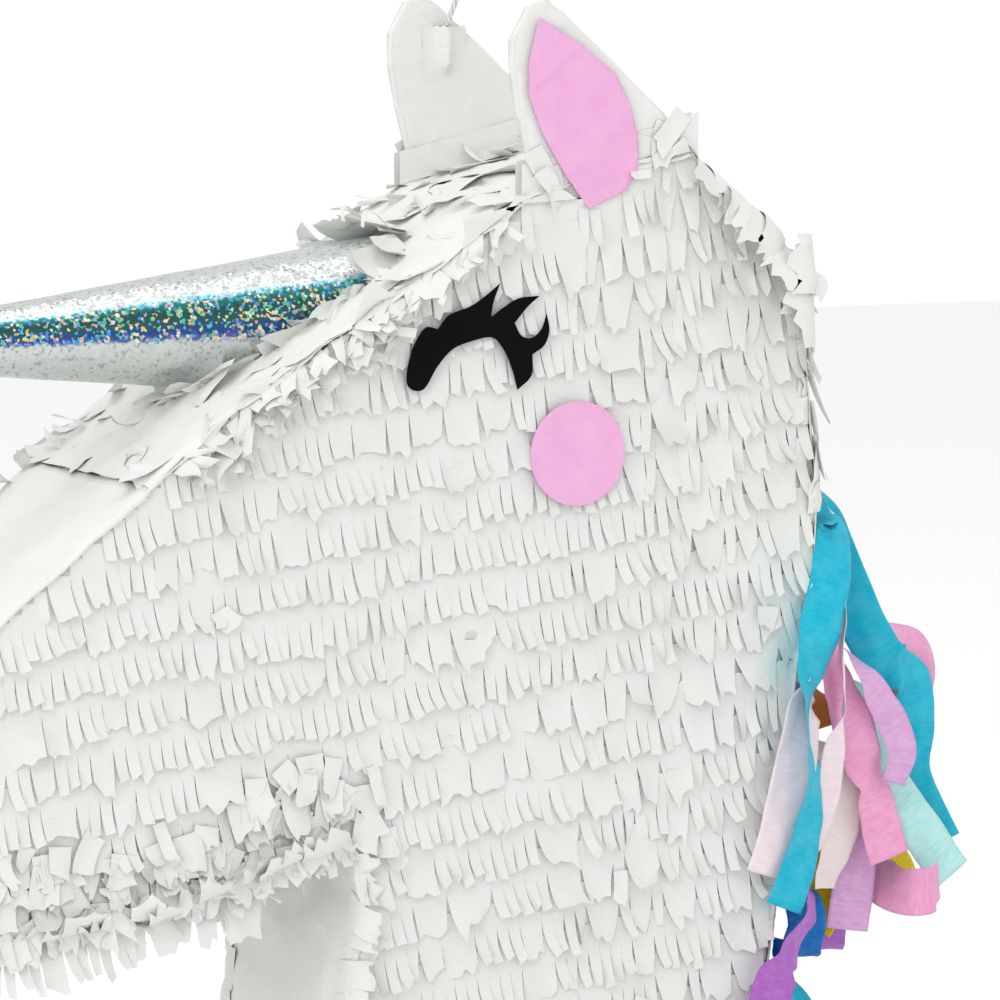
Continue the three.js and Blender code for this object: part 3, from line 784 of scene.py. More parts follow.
@dataclass
class Rim:
    """One run of the head's rim, walked with the card on the left hand.

    Attributes:
        points: its corners.
        marks: distance of each corner from the first, which is measured here.
    """

    points: list[Point]
    marks: list[float] = field(default_factory=list)

    def __post_init__(self) -> None:
        """Measures the distance to each corner."""
        self.marks = [0.0]
        for (x, z), (next_x, next_z) in zip(self.points, self.points[1:]):
            self.marks.append(self.marks[-1] + math.hypot(next_x - x, next_z - z))

    @property
    def length(self) -> float:
        """Its whole length."""
        return self.marks[-1]

    def at(self, distance: float) -> tuple[Vector, Vector, Vector]:
        """The point, the way forward and the way out of the head at a distance from the run's start."""
        k = 0
        while k < len(self.points) - 2 and distance > self.marks[k + 1]:
            k += 1
        (x, z), (next_x, next_z) = self.points[k : k + 2]
        share = (distance - self.marks[k]) / (self.marks[k + 1] - self.marks[k])
        ahead = Vector((next_x - x, 0, next_z - z)).normalized()
        spot = Vector((x + (next_x - x) * share, 0, z + (next_z - z) * share))
        return spot, ahead, Vector((ahead.z, 0, -ahead.x))

    def smooth_out(self, distance: float, reach: float = 0.006) -> Vector:
        """The way out of the head, averaged round corners."""
        near = [min(self.length, max(0.0, distance + step)) for step in (-reach, -reach / 2, 0, reach / 2, reach)]
        return sum((self.at(d)[2] for d in near), Vector()).normalized()


# ---------------------------------------------------------------------------------------------
# Side panels' fringe
# ---------------------------------------------------------------------------------------------


@dataclass
class SideFringe:
    """Rows of cut tissue glued over a side panel.

    Attributes:
        side: which side of the head.
        face: distance of the panel's outer face from the middle plane.
        row_pitch: distance between rows.
        row_rise: slope of the rows.
        finger_width: width of one cut finger.
        finger_length: length of one with its uncut band.
        band: height of the uncut band.
        paper_room: the paper eye and cheek lie this far out, so fringe under them stays closer.
        lowest: how near the floor the tissue comes.
    """

    side: Side
    face: float = 0.0509
    row_pitch: float = 0.0157
    row_rise: float = 0.14
    finger_width: float = 0.0044
    finger_length: float = 0.0218
    band: float = 0.0105
    paper_room: float = 0.0033
    lowest: float = FLOOR_GAP

    def __post_init__(self) -> None:
        """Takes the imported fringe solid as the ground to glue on."""
        node = bpy.data.objects[f"{self.side.word}_side_fringe"]
        corners = [vertex.co.copy() for vertex in node.data.vertices]
        faces = [tuple(polygon.vertices) for polygon in node.data.polygons]
        self.ground = BVHTree.FromPolygons(corners, faces)
        self.random = random.Random(11 if self.side is Side.LEFT else 12)
        low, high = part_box(f"{self.side.word}_eyelashes")
        cheek_low, cheek_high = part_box(f"{self.side.word}_cheek")
        self.papers = [(low, high), (cheek_low, cheek_high)]
        self.ear_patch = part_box(f"{self.side.word}_ear_patch")

    def covered(self, x: float, z: float) -> bool:
        """Whether the panel has tissue at this place."""
        start = Vector((x, 1.0 * self.side.value, z))
        return self.ground.ray_cast(start, Vector((0, -self.side.value, 0)))[0] is not None

    def under_ear_patch(self, x: float, z: float) -> bool:
        """Whether the lower end of the ear's pink paper lies over this place."""
        low, high = self.ear_patch
        return low.x + 0.004 < x < high.x - 0.004 and z > low.z + 0.001

    def under_paper(self, x: float, z: float, margin: float) -> bool:
        """Whether a paper eye or cheek lies over this place."""
        return any(
            low.x - margin < x < high.x + margin and low.z - margin < z < high.z + margin for low, high in self.papers
        )

    def keep_in(self, point: Vector) -> Vector:
        """Holds a point of the fringe above the floor, off the panel and under the paper shapes."""
        out = point.y * self.side.value - self.face
        out = min(max(out, 0.0004), 0.0145)
        if self.under_paper(point.x, point.z, 0.001):
            out = min(out, self.paper_room)
        if point.z < POLL[1] and point.x > 0.05:
            point.x = min(point.x, self.crest_x(point.z) + 0.001)
        return Vector((point.x, (self.face + out) * self.side.value, max(point.z, self.lowest)))

    def ruffle(self, x: float, z: float) -> float:
        """How unruly the fringe is at this place, from 0 to 1."""
        back = min(1.0, max(0.0, (x + 0.02) / 0.08))
        chin = min(1.0, max(0.0, (0.155 - z) / 0.03)) if x < -0.09 else 0.0
        brow = min(1.0, max(0.0, (z - 0.3) / 0.04))
        patchy = max(0.0, sway(x * 22, z * 30, 4.0)) * 0.9
        return min(1.0, 0.12 + 0.55 * back + 0.6 * chin + 0.35 * brow + patchy)

    def row_height(self, row: int, x: float) -> float:
        """Height of a row's glued edge at x."""
        wave = 0.0016 * sway(x * 14, row * 3.1) + 0.0011 * sway(x * 45, row * 1.7, 2.0)
        return 0.43 - row * self.row_pitch + self.row_rise * x + wave

    def crest_x(self, z: float) -> float:
        """Where the crest stands at this height."""
        crest = [*RUNS["crest_lower"], *RUNS["crest_upper"][1:], POLL]
        for (x, low), (next_x, high) in zip(crest, crest[1:]):
            if z <= high:
                return x + (next_x - x) * (z - low) / (high - low)
        return POLL[0]

    def finger(self, row: int, x: float, z: float, length: float, fingers: int) -> Strip:
        """A piece of a row that is as wide as some fingers, glued at x and z."""
        pick = self.random
        wild = self.ruffle(x, z)
        gust = sway(x * 30, row * 2.3, 7.0)
        sweep = 0.3 + 0.4 * gust + 0.25 * sway(x * 110, row * 1.9, 3.0)
        band = self.band * pick.uniform(0.92, 1.08) / length
        strip = Strip(
            origin=Vector((x, (self.face + 0.0009) * self.side.value, z)),
            down=-UP,
            side=Vector((1, 0, 0)),
            out=Vector((0, self.side.value, 0)),
            length=length * pick.uniform(0.96, 1.05),
            width=self.finger_width * fingers,
            lean=sweep * 0.1 + pick.gauss(0, 0.02 + 0.06 * wild),
            bend=sweep * 0.75 + pick.gauss(0, 0.06 + 0.25 * wild),
            lift=0.12 + 0.06 * pick.random(),
            curl=0.25 + 0.35 * gust + pick.gauss(0.0, 0.12 + 0.4 * wild),
            twist=0.3 + 0.35 * gust + pick.gauss(0.0, 0.2 + 0.5 * wild),
            taper=pick.uniform(0.04, 0.16) + wild * pick.uniform(0.0, 0.5),
            slant=pick.gauss(0, 0.2),
            bow=pick.uniform(-0.02, 0.04),
            root=min(0.8, band),
            columns=2 if fingers == 1 else 2 + fingers,
        )
        if fingers > 1:
            strip.twist *= 0.35
            strip.bend *= 0.5
            strip.bow = pick.gauss(0.02, 0.04)
            strip.slant = pick.gauss(0, 0.22)
            strip.curl = pick.gauss(0.1, 0.25)
            strip.ragged = 0.004
        if pick.random() < 0.12 * wild:
            strip.curl += pick.uniform(0.5, 1.5)
        if self.under_paper(x, z - length * 0.5, 0.012):
            strip.curl = 0.05
            strip.twist *= 0.3
        return strip

    def lay_rows(self, bench: Workbench) -> None:
        """Lays every row from the top down."""
        for row in range(30):
            x = -0.275 + self.random.uniform(0, self.finger_width)
            while x < 0.113:
                z = self.row_height(row, x)
                wild = self.ruffle(x, z)
                fingers = 1
                if sway(x * 16, row * 1.3, 12.0) > 0.34:
                    fingers = self.random.choice((2, 3, 3, 4))
                elif self.random.random() < 0.1 + 0.22 * wild:
                    fingers = self.random.choice((2, 2, 3))
                self.lay_one(bench, row, x + self.finger_width * (fingers - 1) / 2, fingers)
                x += self.finger_width * fingers

    def lay_one(self, bench: Workbench, row: int, x: float, fingers: int) -> None:
        """Lays a piece of a row at x, from the panel's edge where the row starts above it."""
        z = self.row_height(row, x)
        length = self.finger_length * (0.92 + 0.14 * self.random.random() + 0.12 * self.ruffle(x, z))
        dropped = 0.0
        while dropped < length * 0.75 and not self.covered(x, z - dropped):
            dropped += 0.001
        if dropped >= length * 0.75:
            return
        z -= dropped
        length = min(length - dropped * 0.8, z - self.lowest)
        if length < 0.004:
            return
        if x > 0.05 and not self.covered(x, z - length):
            length *= 0.75
        if self.under_ear_patch(x, z):
            return
        strip = self.finger(row, x, z, length, fingers)
        strip.root = min(0.85, max(0.0, (self.band - dropped)) / length)
        strip.lay(bench, self.keep_in)

    def lay_backing(self, bench: Workbench) -> None:
        """Lays the plain tissue that the rows are glued on."""
        node = bpy.data.objects[f"{self.side.word}_side_fringe"]
        kept = len(bench.mesh.verts)
        bench.mesh.from_mesh(node.data)
        bench.mesh.verts.ensure_lookup_table()
        fresh = bench.mesh.verts[kept:]
        for vertex in fresh:
            out = vertex.co.y * self.side.value - self.face
            vertex.co.y = (self.face + 0.0003 + 0.1 * out) * self.side.value
        bmesh.ops.remove_doubles(bench.mesh, verts=fresh, dist=1e-6)

    def lay_scraps(self, bench: Workbench) -> None:
        """Lays the crumpled scraps that were glued over the rows, most of them above the jaw."""
        pick = self.random
        jaw = Rim(RUNS["jaw"])
        for k in range(150):
            if k % 6 == 0:
                x, z = pick.uniform(-0.25, 0.1), pick.uniform(0.03, 0.36)
            else:
                x = jaw.at(jaw.length * pick.random())[0].x + pick.uniform(0, 0.03)
                along_jaw = min(1.0, max(0.0, (x + 0.23) / 0.146))
                z = jaw.at(jaw.length * along_jaw)[0].z + 0.004 + 0.03 * pick.random() ** 1.5
            if not self.covered(x, z) or self.under_paper(x, z, 0.03):
                continue
            if k % 6 == 0 and self.ruffle(x, z) < pick.uniform(0.2, 0.9):
                continue
            Strip(
                origin=Vector((x, (self.face + 0.0025) * self.side.value, z)),
                down=-UP,
                side=Vector((1, 0, 0)),
                out=Vector((0, self.side.value, 0)),
                length=pick.uniform(0.007, 0.015),
                width=pick.uniform(0.004, 0.011),
                ragged=0.003,
                lean=pick.gauss(0, 0.3),
                bend=pick.gauss(0, 0.5),
                lift=pick.uniform(0.05, 0.2),
                curl=pick.gauss(0.25, 0.35),
                twist=pick.gauss(0, 0.3),
                taper=pick.uniform(-0.2, 0.3),
                slant=pick.gauss(0, 0.3),
                bow=pick.gauss(0.05, 0.08),
                columns=4,
            ).lay(bench, self.keep_in)

    def build(self) -> None:
        """Builds the fringe and its backing."""
        rows = Workbench()
        self.lay_rows(rows)
        rows.finish(
            f"{self.side.word}_fringe_rows", TISSUE, "white_tissue", [f"{self.side.word}_side_fringe"]
        )
        scraps = Workbench()
        self.lay_scraps(scraps)
        scraps.finish(f"{self.side.word}_fringe_scraps", TISSUE, "white_tissue")
        backing = Workbench()
        self.lay_backing(backing)
        backing.finish(f"{self.side.word}_fringe_backing", SMOOTH_TISSUE, "white_tissue")


# ---------------------------------------------------------------------------------------------
# Rim tissue
# ---------------------------------------------------------------------------------------------


@dataclass
class RimCover:
    """A smooth sheet of tissue glued round the rim, with its long edges folded over the panels.

    Attributes:
        run: the run of the rim that it covers.
        half_width: from the middle plane to where it folds over.
        fold: how much of it is folded over.
        out: distance from the card.
        wrinkle: height of its wrinkles.
        start: where it starts, as a share of the run.
        stop: where it ends.
        low_y: its edge on the left, as a share of half its full width.
        high_y: its edge on the right.
    """

    run: str
    half_width: float = 0.0528
    fold: float = 0.002
    out: float = 0.0014
    wrinkle: float = 0.0005
    start: float = 0.0
    stop: float = 1.0
    low_y: float = -1.0
    high_y: float = 1.0

    def lay(self, bench: Workbench) -> None:
        """Lays the sheet."""
        rim = Rim(RUNS[self.run])
        span = (self.stop - self.start) * rim.length
        reach = self.half_width + self.fold

        def place(across: float, along: float) -> Vector:
            """A point of the sheet."""
            distance = self.start * rim.length + span * along
            spot, ahead, _ = rim.at(min(rim.length, max(0.0, distance)))
            spot += ahead * (distance - min(rim.length, max(0.0, distance)))
            out = rim.smooth_out(distance)
            y = reach * (self.low_y + (across + 0.5) * (self.high_y - self.low_y))
            over = max(0.0, abs(y) - self.half_width)
            crumple = sway(distance * 60, y * 60, 5.0) + 0.5 * sway(distance * 160, y * 110, 9.0)
            height = self.out + self.wrinkle * crumple - over * 0.9
            y = math.copysign(min(abs(y), self.half_width) + over * 0.35, y)
            made = spot + out * height + ACROSS * y
            made.z = max(made.z, FLOOR_GAP)
            return made

        columns = max(4, round(2 * reach * (self.high_y - self.low_y) / 2 / 0.0035))
        bench.lay(columns, max(4, round(span / 0.0035)), (2 * reach, span), place)


@dataclass
class RimFringe:
    """Rows of fringe across a run of the rim.

    Attributes:
        run: the run of the rim.
        backwards: whether the fingers point against the walking direction.
        row_pitch: distance between rows.
        finger_length: length of a finger.
        finger_width: width of a finger.
        lift: how steeply the fingers stand up.
        spread: how much that varies.
        curl: how much they curl at the tip.
        half_width: the rows reach this far to each side.
        lean_spread: how much the fingers' lean to one side varies.
        seed: of their unevenness.
        skip: leaves out a finger that would start at this place.
        low: share of the run where the rows start.
        high: share of the run where they stop.
        taper: least and most share of a finger's width lost at its tip.
        ragged: how far the tips are torn.
    """

    run: str
    backwards: bool = False
    row_pitch: float = 0.012
    finger_length: float = 0.02
    finger_width: float = 0.0046
    lift: float = 0.25
    spread: float = 0.15
    curl: float = 0.2
    half_width: float = 0.0515
    lean_spread: float = 0.12
    seed: int = 1
    skip: Callable[[Vector], bool] = lambda spot: False
    low: float = 0.0
    high: float = 1.0
    taper: Point = (0.0, 0.5)
    ragged: float = 0.0

    def lay(self, bench: Workbench, keep_in: Optional[Callable[[Vector], Vector]] = None) -> None:
        """Lays every row."""
        rim = Rim(RUNS[self.run])
        pick = random.Random(self.seed)
        distance = self.low * rim.length + self.row_pitch * 0.3
        while distance < self.high * rim.length:
            y = -self.half_width
            while y < self.half_width:
                at = min(rim.length * 0.999, max(0.0, distance + 0.003 * sway(y * 40, distance * 50)))
                spot, ahead, _ = rim.at(at)
                out = rim.smooth_out(at)
                base = spot + out * OFF_CARD + ACROSS * y
                if not self.skip(base):
                    Strip(
                        origin=base,
                        down=-ahead if self.backwards else ahead,
                        side=ACROSS,
                        out=out,
                        length=self.finger_length * pick.uniform(0.75, 1.15),
                        width=self.finger_width * pick.uniform(0.8, 1.35),
                        lean=pick.gauss(0, self.lean_spread) + 0.25 * sway(y * 30, distance * 30, 2.0),
                        bend=pick.gauss(0, 2.5 * self.lean_spread),
                        lift=max(0.05, self.lift + pick.gauss(0, self.spread)),
                        curl=pick.gauss(self.curl, 0.4),
                        twist=pick.gauss(0, 0.5),
                        taper=pick.uniform(*self.taper),
                        slant=pick.gauss(0, 0.4),
                        bow=pick.uniform(-0.03, 0.05),
                        ragged=self.ragged,
                        columns=2 if self.finger_width < 0.006 else 5,
                    ).lay(bench, keep_in)
                y += self.finger_width * pick.uniform(0.85, 1.1)
            distance += self.row_pitch * pick.uniform(0.85, 1.15)


def in_room(point: Vector) -> Vector:
    """Holds a point just above the floor, and no wider than the tissue may stand."""
    return Vector((point.x, max(-WIDEST, min(WIDEST, point.y)), max(point.z, FLOOR_GAP)))


@dataclass
class Horn:
    """The rolled foil cone and the tissue tucked round its root.

    Attributes:
        root: where its axis meets the forehead.
        tip: its point.
        root_radius: radius at the root.
        tip_radius: radius at the tip.
        hidden: length that runs on inside the head.
        dent: depth of the dents.
        glow: angles from the top, in degrees, between which the foil's painted reflection band lies on each side.
    """

    root: Vector = field(default_factory=lambda: Vector((-0.083, 0, 0.316)))
    tip: Vector = field(default_factory=lambda: Vector((-0.282, 0, 0.311)))
    root_radius: float = 0.0243
    tip_radius: float = 0.001
    hidden: float = 0.045
    dent: float = 0.00045
    glow: Point = (40.0, 104.0)

    @property
    def axis(self) -> Vector:
        """Direction from the root to the tip."""
        return (self.tip - self.root).normalized()

    def radius_at(self, along: float) -> float:
        """Outer radius at a distance from the root."""
        taper = (self.root_radius - self.tip_radius) / (self.tip - self.root).length
        return self.root_radius - taper * along

    def inside(self, spot: Vector, margin: float = 0.0) -> bool:
        """Whether a place is inside the cone."""
        along = (spot - self.root).dot(self.axis)
        away = (spot - self.root - self.axis * along).length
        return along > -self.hidden and away < self.radius_at(along) + margin

    def build(self) -> None:
        """Spins the cone from its profile and dents it a little."""
        bench = Workbench()
        mesh = bench.mesh
        length = (self.tip - self.root).length
        rings = 90
        profile = []
        for k in range(rings + 1):
            along = -self.hidden + (length + self.hidden - self.tip_radius) * k / rings
            profile.append(mesh.verts.new(self.root + self.axis * along + UP * self.radius_at(along)))
        point = mesh.verts.new(self.tip)
        profile.append(point)
        edges = [mesh.edges.new(pair) for pair in zip(profile, profile[1:])]
        bmesh.ops.spin(
            mesh,
            geom=[*profile, *edges],
            cent=self.root,
            axis=self.axis,
            dvec=(0, 0, 0),
            angle=math.tau,
            steps=96,
            use_merge=True,
            use_duplicate=False,
        )
        bmesh.ops.remove_doubles(mesh, verts=mesh.verts, dist=1e-6)
        glow = mesh.verts.layers.float.new("glow")
        for vertex in mesh.verts:
            along = (vertex.co - self.root).dot(self.axis)
            ray = vertex.co - self.root - self.axis * along
            if ray.length > 2 * self.tip_radius:
                turn = math.atan2(ray.y, ray.z)
                seam = 0.0005 * math.exp(-(((turn - 2.4 - along * 1.5) / 0.05) ** 2))
                dent = self.dent * (sway(along * 18, turn * 1.2, 1.0) + 0.4 * sway(along * 70, turn * 3.0, 6.0))
                vertex.co += ray.normalized() * (dent + seam - 0.0003)
                # Share across the band of painted reflection, by the angle from the top.
                lowness = math.degrees(abs(math.atan2(ray.y, ray.z)))
                share = (lowness - self.glow[0]) / (self.glow[1] - self.glow[0])
                vertex[glow] = min(1.0, max(0.0, share))
        bmesh.ops.recalc_face_normals(mesh, faces=mesh.faces)
        bench.finish("horn_cone", FOIL, "horn_foil", ["horn"], 0.0003)


@dataclass
class Forehead:
    """Ragged rows of tissue over the forehead, round the horn's root.

    Attributes:
        horn: the horn, which the tissue stays out of.
    """

    horn: Horn

    @staticmethod
    def between_edges(point: Vector) -> Vector:
        """Holds a point between the head's sides."""
        return Vector((point.x, max(-FOREHEAD_EDGE, min(FOREHEAD_EDGE, point.y)), point.z))

    def in_horn(self, spot: Vector) -> bool:
        """Whether a tuft here would stand in the horn."""
        return self.horn.inside(spot, -0.001)

    def build(self) -> None:
        """Builds the tufts, and the plain sheet under them."""
        sheet = Workbench()
        RimCover("forehead", out=0.0022, wrinkle=0.0017).lay(sheet)
        holes = [face for face in sheet.mesh.faces if self.horn.inside(face.calc_center_median(), 0.001)]
        bmesh.ops.delete(sheet.mesh, geom=holes, context="FACES")
        sheet.finish("forehead_sheet", SMOOTH_TISSUE, "white_tissue")
        tufts = Workbench()
        RimFringe(
            "forehead", row_pitch=0.024, finger_length=0.02, finger_width=0.02, lift=0.02, spread=0.01, curl=0.0,
            lean_spread=1.0, taper=(-0.1, 0.15), ragged=0.003, seed=21, skip=self.in_horn,
        ).lay(tufts, self.between_edges)
        RimFringe(
            "forehead", row_pitch=0.01, finger_length=0.013, finger_width=0.007, lift=0.55, spread=0.3, curl=-0.2,
            lean_spread=0.5, taper=(0.4, 1.0), seed=22,
            skip=lambda spot: self.in_horn(spot) or spot.y < 0.04,
        ).lay(tufts, self.between_edges)
        RimFringe(
            "forehead", row_pitch=0.05, finger_length=0.012, finger_width=0.01, lift=0.08, spread=0.06, curl=0.0,
            lean_spread=0.8, taper=(0.0, 0.6), ragged=0.004, seed=23, high=0.9, skip=self.in_horn,
        ).lay(tufts, self.between_edges)
        tufts.finish("forehead_tufts", TISSUE, "white_tissue", ["forehead_fringe"])
        self.collar()
        self.edge_tabs()

    def collar(self) -> None:
        """Lays petals of tissue round the horn's root, and thin curls hooked over the foil."""
        pick = random.Random(23)
        bench = Workbench()
        horn = self.horn
        (upper_x, upper_z), (lower_x, lower_z) = RUNS["forehead"][1:3]
        slope = Vector((upper_x - lower_x, 0, upper_z - lower_z))
        foot = Vector((lower_x, 0, lower_z))
        normal = Vector((-slope.z, 0, slope.x)).normalized()
        for k in range(26):
            turn = math.tau * (k + pick.uniform(-0.3, 0.3)) / 26
            ray = UP * math.cos(turn) - ACROSS * math.sin(turn)
            start = horn.root + ray * horn.root_radius
            along = (foot - start).dot(normal) / horn.axis.dot(normal)
            base = start + horn.axis * (along + 0.001)
            radius = horn.radius_at((base - horn.root).dot(horn.axis))
            base = horn.root + horn.axis * (base - horn.root).dot(horn.axis) + ray * (radius + OFF_CARD)
            Strip(
                origin=base - horn.axis * 0.006,
                down=(horn.axis + ray * 0.12).normalized(),
                side=horn.axis.cross(ray),
                out=ray,
                length=pick.uniform(0.012, 0.022),
                width=pick.uniform(0.009, 0.018),
                lean=pick.gauss(0, 0.3),
                bend=pick.gauss(0, 0.5),
                lift=pick.uniform(0.05, 0.25),
                curl=pick.gauss(0.1, 0.3),
                twist=pick.gauss(0, 0.3),
                taper=pick.uniform(0.0, 0.6),
                ragged=0.004,
                slant=pick.gauss(0, 0.4),
                bow=-0.12,
                columns=4,
            ).lay(bench)
            if k % 4 == 1:
                Strip(
                    origin=base,
                    down=(horn.axis + ray * 0.4).normalized(),
                    side=horn.axis.cross(ray),
                    out=ray,
                    length=pick.uniform(0.02, 0.03),
                    width=0.0022,
                    bend=pick.gauss(0, 1.0),
                    lift=0.5,
                    curl=pick.uniform(-2.6, -1.4),
                    taper=0.4,
                    steps=12,
                ).lay(bench)
        bench.finish("horn_collar", TISSUE, "white_tissue")

    def edge_tabs(self) -> None:
        """Lays the pile of crumpled square tabs along both edges of the forehead."""
        bench = Workbench()
        rim = Rim(RUNS["forehead"])
        pick = random.Random(24)
        for side in Side:
            for _ in range(120 if side is Side.LEFT else 60):
                distance = rim.length * (0.32 + 0.63 * pick.random())
                spot, ahead, out = rim.at(distance)
                drop = pick.uniform(0.0, 0.014) * pick.random()
                if -0.06 < spot.x < 0.005 and drop > 0.003:
                    continue
                down = ACROSS * side.value * pick.uniform(0.1, 0.8) - UP * pick.uniform(0.3, 1.0)
                down += ahead * pick.gauss(0, 0.5)
                Strip(
                    origin=spot + ACROSS * side.value * 0.0525 + out * (0.001 - drop),
                    down=down.normalized(),
                    side=ahead,
                    out=(ACROSS * side.value + out * 0.3).normalized(),
                    length=pick.uniform(0.006, 0.013),
                    width=pick.uniform(0.004, 0.008),
                    lean=pick.gauss(0, 0.3),
                    bend=pick.gauss(0, 0.6),
                    lift=pick.uniform(-0.1, 0.3),
                    curl=pick.gauss(0.0, 0.7),
                    twist=pick.gauss(0, 0.6),
                    taper=pick.uniform(-0.1, 0.3),
                    slant=pick.gauss(0, 0.4),
                    columns=3,
                    steps=5,
                ).lay(bench, in_room)
        bench.finish("forehead_edge_tabs", TISSUE, "white_tissue")


@dataclass
class EdgeFolds:
    """Wide sheets that are glued on the rim and rolled over on to the sides.

    Attributes:
        run: the run of the rim.
        low: share of the run where they start.
        high: share of the run where they stop.
        pitch: distance between them.
        length: of a sheet.
        width: of a sheet.
        roll: how far it turns over.
        ragged: how far its end is torn.
        seed: of their unevenness.
    """

    run: str
    low: float = 0.0
    high: float = 1.0
    pitch: float = 0.009
    length: float = 0.026
    width: float = 0.018
    roll: float = 2.2
    ragged: float = 0.006
    seed: int = 51

    def lay(self, bench: Workbench) -> None:
        """Lays them along both edges."""
        rim = Rim(RUNS[self.run])
        pick = random.Random(self.seed)
        for side in Side:
            distance = self.low * rim.length
            while distance < self.high * rim.length:
                spot, ahead, _ = rim.at(distance)
                out = rim.smooth_out(distance)
                Strip(
                    origin=spot + out * 0.0018 + ACROSS * side.value * pick.uniform(0.04, 0.047),
                    down=(ACROSS * side.value + ahead * pick.gauss(0, 0.25)).normalized(),
                    side=ahead,
                    out=out,
                    length=self.length * pick.uniform(0.75, 1.25),
                    width=self.width * pick.uniform(0.7, 1.25),
                    bend=pick.gauss(0, 0.15),
                    lift=pick.uniform(0.0, 0.2),
                    curl=-self.roll * pick.uniform(0.9, 1.1),
                    twist=pick.gauss(0, 0.08),
                    taper=pick.uniform(-0.05, 0.2),
                    slant=pick.gauss(0, 0.12),
                    bow=pick.gauss(0.0, 0.03),
                    ragged=self.ragged,
                    steps=12,
                    columns=6,
                ).lay(bench, in_room)
                distance += self.pitch * pick.uniform(0.7, 1.3)


@dataclass
class Rims:
    """Everything glued round the rim but the forehead and the fill flap."""

    def sheets(self) -> None:
        """Lays the smooth sheets."""
        for run, name, stands_for, wrinkle in (
            ("nose_bridge", "nose_bridge_sheet", ["nose_bridge_tissue"], 0.0009),
            ("poll", "poll_sheet", ["poll_tissue"], 0.001),
            ("neck_front", "neck_front_sheet", ["neck_front_tissue"], 0.0016),
            ("muzzle", "muzzle_sheet", [], 0.0006),
            ("jaw", "jaw_sheet", [], 0.0008),
            ("crest_lower", "crest_lower_sheet", ["crest_lower_fringe"], 0.0003),
        ):
            bench = Workbench()
            RimCover(run, wrinkle=wrinkle).lay(bench)
            bench.finish(name, SMOOTH_TISSUE, "white_tissue", stands_for, 0.00015)

    def fringes(self) -> None:
        """Lays the cut rows."""
        muzzle = Workbench()
        RimFringe("muzzle", lift=0.25, finger_length=0.019, seed=31).lay(muzzle, in_room)
        muzzle.finish("muzzle_fringe_rows", TISSUE, "white_tissue", ["muzzle_fringe"])
        jaw = Workbench()
        RimFringe(
            "jaw", lift=0.7, spread=0.3, curl=0.3, finger_length=0.013, finger_width=0.006, row_pitch=0.016,
            lean_spread=0.3, seed=32,
        ).lay(jaw)
        jaw.finish("jaw_fringe_rows", TISSUE, "white_tissue", ["jaw_fringe"])
        nose = Workbench()
        RimFringe(
            "nose_bridge", lift=1.1, spread=0.3, finger_length=0.012, finger_width=0.006, row_pitch=0.008,
            taper=(0.3, 1.0), lean_spread=0.4, seed=34, skip=lambda spot: spot.y < 0.044,
        ).lay(nose)
        nose.finish("nose_bridge_tufts", TISSUE, "white_tissue")
        folds = Workbench()
        EdgeFolds("poll", seed=51).lay(folds)
        EdgeFolds("crest_upper", low=0.68, seed=52).lay(folds)
        EdgeFolds("crest_upper", high=0.68, length=0.011, roll=1.75, width=0.02, ragged=0.002, seed=53).lay(folds)
        EdgeFolds("crest_lower", length=0.0095, roll=1.75, width=0.02, pitch=0.013, ragged=0.002, seed=54).lay(folds)
        EdgeFolds("neck_front", length=0.016, roll=1.9, pitch=0.008, width=0.014, seed=55).lay(folds)
        EdgeFolds("jaw", length=0.018, roll=1.7, pitch=0.009, width=0.017, seed=56).lay(folds)
        folds.finish("edge_folds", SMOOTH_TISSUE, "white_tissue")

    def build(self) -> None:
        """Builds the sheets and the rows."""
        self.sheets()
        self.fringes()


